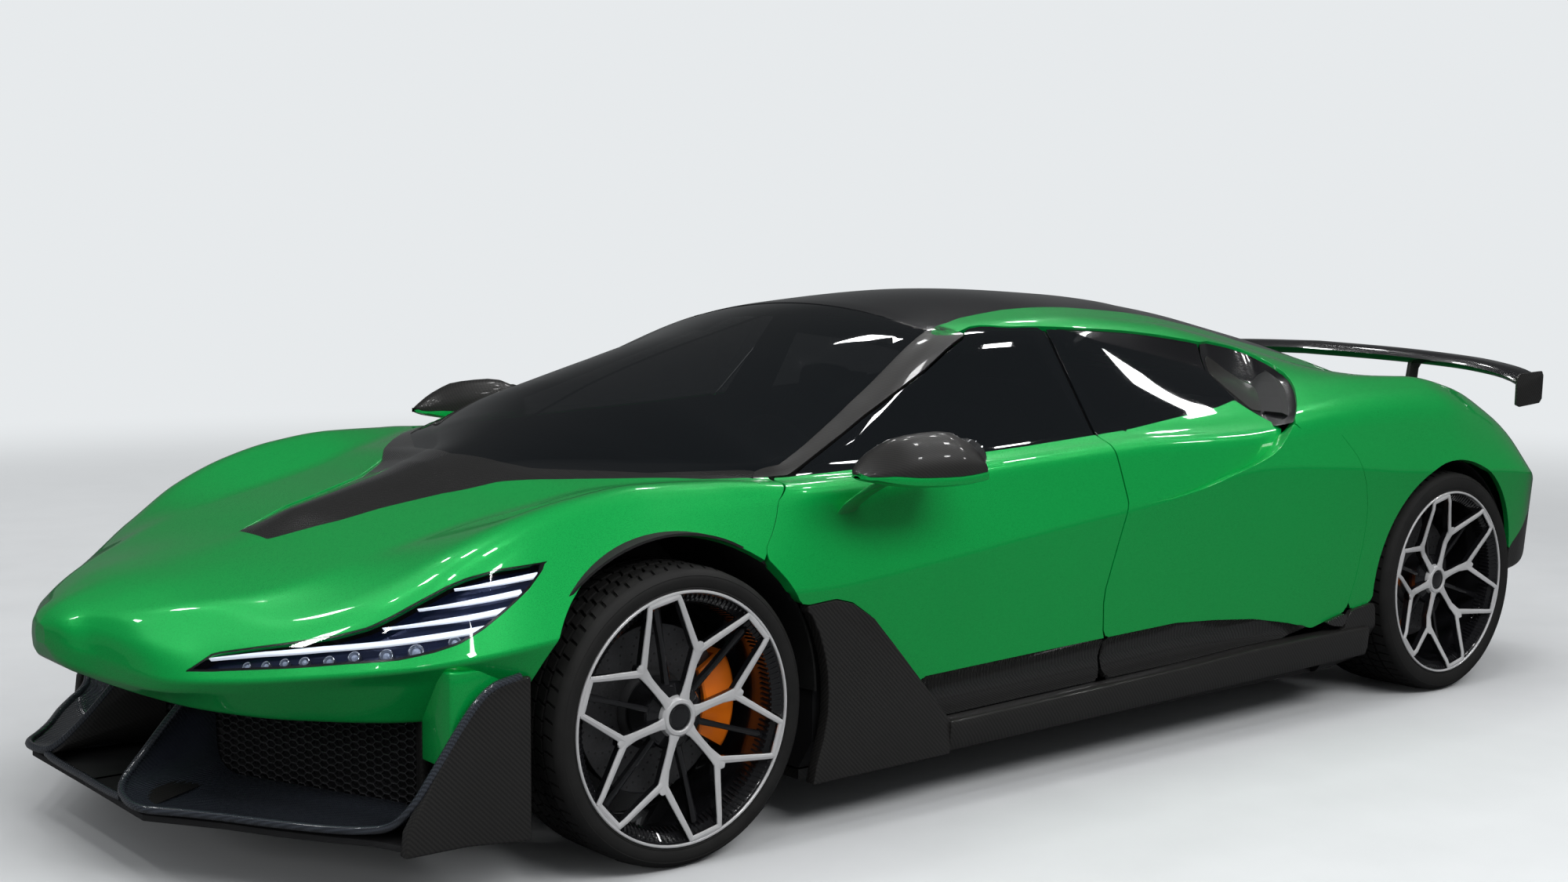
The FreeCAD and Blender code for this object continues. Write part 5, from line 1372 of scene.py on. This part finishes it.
rods = []
for bar in LIGHT_BARS:
    bar = np.array(bar, float)
    rings = []
    for x in np.linspace(bar[0, 0], bar[-1, 0], 28):
        z, h = np.interp(x, bar[:, 0], bar[:, 1]), np.interp(x, bar[:, 0], bar[:, 2]) / 2
        rings.append([tuple(on_lens(x, z + dz * h, deep)[0])
                      for dz, deep in ((-1, 16), (-1, 9), (-0.5, 7), (0.5, 7), (1, 9), (1, 16))])
    rods.append(loft(rings))
form("lamp_light_bars", pair(together(*rods)), glowing, slot="lamp_glass", crisp=40)
eyes, cups = [], []
for x, z, r in LENSES:
    near = np.argmin((lens.points[:, 0] - x / 1000) ** 2 + (lens.points[:, 2] - z / 1000) ** 2)
    n = lens.normals[near]
    foot = np.array((x, lens.points[near, 1] * 1000, z)) - n * EYE_DEPTH
    u = unit(np.cross(n, (0, 0, 1.0)))
    v = np.cross(n, u)

    def ring(rr, out):
        return [tuple(foot + n * out + rr * (math.cos(t) * u + math.sin(t) * v))
                for t in np.arange(16) * math.pi / 8]

    cups.append(loft([ring(r * 1.7, -6), ring(r * 1.7, 6), ring(r * 1.45, 6.5), ring(r * 1.1, 1)],
                     capped=False))
    eyes.append(loft([ring(r * 1.05, 0), ring(r * 0.95, 3), ring(r * 0.6, 5.4), ring(0.05, 6)]))
form("lamp_lens_cups", pair(together(*cups)), bright_rim, slot="lamp_glass", crisp=30)
eye = Finish("lamp_small_lens", (0.30, 0.34, 0.42), 0.06, 0.2, Coat_Weight=1.0)
eye.set("Base Color", eye.blend(eye.cloud(400.0), (0.16, 0.20, 0.30), (0.62, 0.68, 0.80)))
form("lamp_small_lenses", pair(together(*eyes)), eye, slot="lamp_glass", crisp=60)


# ---- Mirrors: a carbon dome over a painted tray, on a painted stalk that rises from the door's shoulder and
# is screwed to it, with a silvered pane behind. MIRROR gives x, then y and z of the inner and outer bounds.
MIRROR = ((584, 985, 1140, 853, 958), (680, 985, 1150, 849, 976), (800, 992, 1145, 853, 970),
          (880, 1004, 1126, 862, 942), (930, 1030, 1100, 876, 908), (947, 1054, 1078, 886, 893))


def faired(rows, spot):
    """The four measures of a table's rows at one place along it, on an even curve."""
    table = np.array(rows, float)
    return [float(fair(table[:, 0], table[:, k], np.array([spot]))[0]) for k in range(1, 5)]


glass_back = Finish("mirror_glass", (0.62, 0.64, 0.66), 0.03, 1.0)
glass_back.set("Roughness", 0.02 + glass_back.cloud(20.0) * 0.02)
cap_rings, tray_rings = [], []
for x in (586, 600, 640, 680, 730, 780, 820, 850, 880, 900, 918, 932, 941, 946):
    y0, y1, z0, z1 = faired(MIRROR, x)
    cy, w, base = (y0 + y1) / 2, (y1 - y0) / 2, z0 + min(26, 0.3 * (z1 - z0))
    dome = []
    for t in np.linspace(0, math.pi, 19):
        c, s = math.cos(t), math.sin(t)
        dome.append((x, cy + w * math.copysign(abs(c) ** 0.85, c) * (1.0 - 0.06 * s) - 6 * s,
                     base + (z1 - base) * s ** 0.8 * (1 - 0.34 * max(c, 0) - 0.12 * max(0, 640 - x) / 54)))
    cap_rings.append(dome + [(x, cy - w * 0.5, base), (x, cy, base), (x, cy + w * 0.5, base)])
    tray = [(1.03, base - 1), (1.0403, base - 8), (1.03, z0 + 7), (0.8, z0)]
    tray_rings.append([(x, cy + w * far, z) for far, z in tray]
                      + [(x, cy - w * far, z) for far, z in tray[::-1]])
STALK = ((868, 932, 772), (858, 950, 800), (846, 980, 826), (836, 1012, 846), (826, 1040, 862))
stalk = []
for k, (x, y, z) in enumerate(STALK):
    half = 34 - 2.5 * k
    stalk.append([(x + half * math.cos(t), y + 3 * math.cos(t), z + 10 * math.sin(t))
                  for t in (2 * math.pi * q / 16 for q in range(16))])
y0, y1, z0, z1 = (np.interp(600, [r[0] for r in MIRROR], [r[k] for r in MIRROR]) for k in (1, 2, 3, 4))
cy, cz, wide, high = (y0 + y1) / 2, (z0 + z1) / 2 + 4, (y1 - y0) * 0.43, (z1 - z0) * 0.40
silvered = loft([[(x, cy + wide * math.cos(t), cz + high * math.sin(t))
                  for t in np.arange(24) * math.pi / 12] for x in (586.5, 583.5)])
for name, sign in HANDS.items():
    body = "front_door_" + name
    hand = (lambda shape: shape) if sign > 0 else flipped
    form("mirror_cap_" + name, hand(loft(cap_rings)), satin_carbon, body, replaces=["mirror_" + name],
         slot="carbon", crisp=60)
    form("mirror_tray_" + name, hand(together(loft(tray_rings), loft(stalk))), green, body, slot="paint",
         bevel=2, steps=3, crisp=45)
    form("mirror_pane_" + name, hand(silvered), glass_back, body, slot="glazing")


# ---- Rear wing: a fixed gloss black blade with drooped tips, small end plates and two swan-neck stays of
# satin carbon, screwed down to the tail. WING gives y, leading and trailing x, z and thickness in mm.
WING = ((0, -2150, -2370, 1045, 24), (300, -2158, -2368, 1038, 23), (600, -2172, -2360, 1022, 20),
        (760, -2188, -2352, 1000, 17), (820, -2194, -2349, 984, 15), (860, -2200, -2345, 965, 14))
wing_rings = []
for y in np.linspace(-860, 860, 61):
    lead, trail, z, t = faired(WING, abs(y))
    upper = [(lead + (trail - lead) * u, y, z + 12 * u + 0.8 * t * math.sin(math.pi * u ** 0.6))
             for u in np.linspace(0, 1, 12)]
    lower = [(lead + (trail - lead) * u, y, z + 12 * u - 1.1 * t * math.sin(math.pi * u ** 0.55) ** 0.8 - 0.8)
             for u in np.linspace(1, 0, 12)]
    wing_rings.append(upper + lower)
end_fin = outline_solid([(-2190, 890), (-2192, 980), (-2210, 996), (-2345, 1000), (-2354, 985), (-2350, 905),
                         (-2335, 890), (-2215, 882)], 860, 869)
stay = outline_solid([(-2150, 850), (-2172, 960), (-2186, 1020), (-2215, 1040), (-2270, 1044), (-2262, 1020),
                      (-2232, 990), (-2222, 930), (-2232, 850)], 441, 457)
form("wing_blade", loft(wing_rings), black_lacquer, replaces=["rear_wing"], slot="gloss_black", crisp=40)
form("wing_end_plates_and_stays", pair(together(end_fin, stay)), satin_carbon, slot="carbon", bevel=3, steps=3)


# ---- Diffuser: a satin carbon tray screwed under the tail with six upright fins, and a narrow outlet above
# it, closed by the same moulded mesh as the intakes.
tray_line = [(-2060, 700), (-2460, 640), (-2500, 400), (-2500, -400), (-2460, -640), (-2060, -700)]
fin_line = [(-2085, 331), (-2480, 331), (-2478, 300), (-2468, 235), (-2440, 208), (-2300, 192), (-2140, 205),
            (-2085, 232)]
form("diffuser_tray", outline_solid(tray_line, 331, 351, "z"), satin_carbon, slot="carbon", bevel=6, steps=3)
fins = [outline_solid(fin_line, y - 5, y + 5) for y in (-540, -324, -108, 108, 324, 540)]
form("diffuser_fins", together(*fins), satin_carbon, slot="carbon", bevel=3)
outlet = repeated("outlet_mesh", cell_unit, mesh_gloss, honeycomb,
                  {"Columns": 28, "Rows": 6, **CELL_PITCH})
outlet = ([(-2440 - 5 + y * 0.5, x + 12, 452 + z) for x, y, z in outlet[0]], outlet[1])
frame_out = [(4, 440), (545, 440), (556, 450), (556, 536), (545, 546), (4, 546)]
form("outlet_back", pair(outline_solid(frame_out, -2443, -2441, "x")), cast_black, slot="black_plastic")
placed("outlet_mesh_cells", pair(outlet), mesh_gloss, slot="black_plastic")


# ---- Door cards: panels of grained moulded trim that close each door on the inside, clipped to its frame.
# They follow the door's skin at a frame's depth and swing with it.
trim = worn("door_card", 12.0, (0.012, 0.012, 0.014), (0.026, 0.026, 0.028), 0.5, 0.72)
pebble = trim.node("ShaderNodeTexVoronoi", None, {"Vector": trim.place()[0], "Scale": 620.0})
trim.emboss(pebble, 0.0004, 0.5)
CARD_DEPTH = 0.046
cards = [skin.sunk(CARD_DEPTH).trimmed(side(front_door_line)),
         skin.sunk(lambda p: sink(p) + CARD_DEPTH).trimmed(side(rear_door_line))]
cards = [Sheet(card.points, -card.normals, card.tris[:, ::-1]) for card in cards]
door_pieces("card", *cards, trim, "upholstery")


# ---- Seats: four foam-filled pads under stitched hide, on carbon shells bolted to the floor.
hide = worn("seat_hide", 9.0, (0.017, 0.016, 0.016), (0.040, 0.038, 0.037), 0.42, 0.62, Sheen_Weight=0.15)
pores = hide.node("ShaderNodeTexVoronoi", None, {"Vector": hide.place()[0], "Scale": 520.0})
hide.emboss(pores, 0.0005, 0.6)


CLOTH_FRAMES, MOST_SWELL = 20, 0.012


def blown_pad(long, wide, deep, name):
    """A closed pad in its own frame (mm): x along, y across, z up; swollen under light pressure."""
    work = bmesh.new()
    bmesh.ops.create_cube(work, size=2.0)
    bmesh.ops.subdivide_edges(work, edges=work.edges, cuts=9, use_grid_fill=True)
    for v in work.verts:
        p = np.array(v.co)
        r = (abs(p[0]) ** 5 + abs(p[1]) ** 5 + abs(p[2]) ** 2.6) ** (1 / 4.2)
        p = p / max(r, 0.6)
        pull = 1 - 0.05 * math.cos(p[0] * math.pi / 2) * abs(p[1])
        v.co = (p[0] * long / 2000, p[1] * pull * wide / 2000, p[2] * deep / 2000)
    mesh = bpy.data.meshes.new(name)
    work.to_mesh(mesh)
    work.free()
    maker = new_object(name, mesh)
    remesh = maker.modifiers.new("even_mesh", "REMESH")
    remesh.mode, remesh.voxel_size = "VOXEL", 0.006
    even = maker.data = settled(maker)
    start = np.array([v.co[:] for v in even.vertices])
    cloth = maker.modifiers.new("hide", "CLOTH")
    cloth.settings.use_pressure = True
    cloth.settings.uniform_pressure_force = 4.0
    cloth.settings.tension_stiffness = cloth.settings.compression_stiffness = 25
    cloth.settings.effector_weights.gravity = 0
    cloth.point_cache.frame_end = CLOTH_FRAMES
    for frame_number in range(1, CLOTH_FRAMES + 1):
        scene.frame_set(frame_number)
    solved = bpy.data.meshes.new_from_object(maker.evaluated_get(bpy.context.evaluated_depsgraph_get()))
    swollen = np.array([v.co[:] for v in solved.vertices])
    scene.frame_set(1)
    maker.modifiers.clear()
    step = swollen - start
    far = np.linalg.norm(step, axis=1, keepdims=True)
    start = start + step * np.minimum(1, MOST_SWELL / np.maximum(far, 1e-9))
    faces = [tuple(f.vertices) for f in even.polygons]
    bpy.data.objects.remove(maker)
    return start * 1000, faces


def sewn(points, along, across, spacing, edge):
    """Presses channels into the upper face: rows across the pad and one seam round its border."""
    out = points.copy()
    high = np.clip(points[:, 2] / max(points[:, 2].max(), 1), 0, 1) ** 0.5
    inner = (np.abs(points[:, 1]) < across / 2 - edge) & (np.abs(points[:, 0]) < along / 2 - edge)
    row = np.abs((points[:, 0] / spacing) % 1.0 - 0.5) * spacing
    out[:, 2] -= np.where(inner, 5.0 * np.exp(-(row / 4.0) ** 2), 0) * high
    border = np.minimum(np.abs(np.abs(points[:, 1]) - (across / 2 - edge)),
                        np.abs(np.abs(points[:, 0]) - (along / 2 - edge)))
    seam = (np.abs(points[:, 1]) < across / 2 - edge + 8) & (np.abs(points[:, 0]) < along / 2 - edge + 8)
    out[:, 2] -= np.where(seam, 6.0 * np.exp(-(border / 5.0) ** 2), 0) * high
    return out


cushion = blown_pad(452, 420, 120, "cushion_maker")
squab = blown_pad(600, 400, 96, "squab_maker")
rest = blown_pad(130, 230, 80, "headrest_maker")


def set_down(pad, along, across, spacing, edge, origin, lean):
    """A pad sewn and laid with its own x axis leaning up by an angle in side view."""
    p = sewn(pad[0], along, across, spacing, edge) if spacing else pad[0]
    c, s = math.cos(math.radians(lean)), math.sin(math.radians(lean))
    return [(origin[0] + c * x - s * z, origin[1] + y, origin[2] + s * x + c * z) for x, y, z in p], pad[1]


# y, cushion (x, z), squab (x, z), its lean in degrees and headrest (x, z), for the left seat in mm
SEATS = {"front": (380, (205, 400), (-92, 690), 106.0, (-172, 990)),
         "rear": (370, (-772, 385), (-952, 680), 106.0, (-1010, 905))}
for row, (y, low_at, high_at, lean, head_at) in SEATS.items():
    for name, sign in HANDS.items():
        side_y = y * sign
        pads = [("cushion", set_down(cushion, 452, 420, 52, 62, (low_at[0], side_y, low_at[1]), 5)),
                ("squab", set_down(squab, 600, 400, 52, 60, (high_at[0], side_y, high_at[1] - 10), lean)),
                ("headrest", set_down(rest, 130, 230, 0, 0, (head_at[0], side_y, head_at[1] - 25), lean))]
        for label, shape in pads:
            pad = placed("%s_seat_%s_%s" % (row, label, name), shape, hide, slot="upholstery", crisp=180,
                         replaces=[row + "_seats"] if label == "cushion" else [])
        shell_rings = []
        for t in np.linspace(0, 1, 14):
            if t < 0.45:
                k = t / 0.45
                cx, cz, wide = low_at[0] + 225 - 430 * k, low_at[1] - 74, 232
            else:
                k = (t - 0.45) / 0.55
                cx = (low_at[0] - 215) * (1 - k) + (head_at[0] - 62) * k
                cz = (low_at[1] - 70) * (1 - k) + (head_at[1] + 20) * k
                wide = 232 - 95 * k ** 3
            wing_up = 50 * math.sin(math.pi * min(t * 1.1, 1))
            ring = []
            for q in np.linspace(-1, 1, 15):
                lift_by = wing_up * abs(q) ** 4
                forward = lift_by if cz > low_at[1] - 40 else 0
                ring.append((cx + forward, side_y + wide * q, cz + (0 if forward else lift_by)))
            shell_rings.append(ring)
        form("%s_seat_shell_%s" % (row, name), loft(shell_rings, closed=False, capped=False), satin_carbon,
             slot="carbon", shell=True, crisp=60)


# ---- Steering wheel: a flat-bottomed rim in hide, three carbon spokes and a plain boss on the column, which
# is fixed to the dashboard.
hub_at, lean = np.array((600.0, 380.0, 800.0)), unit(np.array((-0.92, 0, 0.39)))
across, upward = np.array((0, 1.0, 0)), unit(np.array((0.39, 0, 0.92)))


def on_hub(r, angle, ahead=0):
    """A point at a radius and an angle about the hub, so far towards the driver."""
    return hub_at + r * (math.cos(angle) * across + math.sin(angle) * upward) + lean * ahead


loop = [on_hub(165 * (1 - 0.10 * max(0, -math.sin(t)) ** 6), t)
        for t in np.linspace(0, 2 * math.pi, 64, endpoint=False)]
rim_rings = []
for p in loop:
    u = unit(p - hub_at)
    rim_rings.append([tuple(p + 14 * (math.cos(a) * u + 1.15 * math.sin(a) * lean))
                      for a in np.arange(12) * math.pi / 6])
rim_shape = loft(rim_rings + rim_rings[:1], capped=False)


def spoke(angle):
    """One arm of the steering wheel, from its boss to its rim."""
    side_way = -math.sin(angle) * across + math.cos(angle) * upward
    section = ((1, -5), (1, 3), (0.6, 6), (-0.6, 6), (-1, 3), (-1, -5))
    return loft([[tuple(on_hub(r, angle, deep - 6) + side_way * half * wide) for wide, deep in section]
                 for r, half in ((30, 26), (70, 18), (120, 15), (156, 17))])


BOSS = ((28, -160), (30, -30), (52, -22), (56, -4), (50, 8), (30, 13), (0.1, 14))
boss = loft([[tuple(on_hub(r, a, deep)) for a in np.arange(24) * math.pi / 12] for r, deep in BOSS])
form("steering_wheel_rim", rim_shape, hide, replaces=["steering_wheel"], slot="upholstery", crisp=60)
form("steering_wheel_spokes", together(*[spoke(a) for a in (0.12, math.pi - 0.12, -math.pi / 2)], boss),
     satin_carbon, slot="carbon", crisp=40)


# ---- What the solids keep: the moulded cell, carbon floor, felt liners, forged suspension, battery case,
# dashboard and console stay as the CAD has them, bolted to the cell, and only get their finishes.
forged = worn("forged_metal", 26.0, (0.24, 0.24, 0.25), (0.40, 0.40, 0.41), 0.34, 0.55, 0.9)
felt = worn("liner_felt", 60.0, (0.008, 0.008, 0.008), (0.022, 0.022, 0.022), 0.82, 0.98)
felt.emboss(felt.cloud(700.0, 3.0), 0.0008, 0.7)
cell_trim = worn("cell_composite", 8.0, (0.009, 0.009, 0.010), (0.020, 0.020, 0.021), 0.48, 0.7)
case_metal = worn("battery_case_metal", 10.0, (0.15, 0.16, 0.17), (0.26, 0.27, 0.28), 0.42, 0.6, 0.6)
KEPT = {"passenger_cell": cell_trim, "floor_pan": satin_carbon, "battery_pack": case_metal, "dashboard": trim,
        "centre_console": trim, "front_suspension": forged, "rear_suspension": forged,
        "rear_hub_carriers": forged, "front_hub_carrier_left": forged, "front_hub_carrier_right": forged,
        "wheel_liners": felt}
for node_name, finish in KEPT.items():
    holder = next(o for o in scene.objects if o.get("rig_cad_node") == node_name)
    holder.data.materials.clear()
    holder.data.materials.append(finish.material)
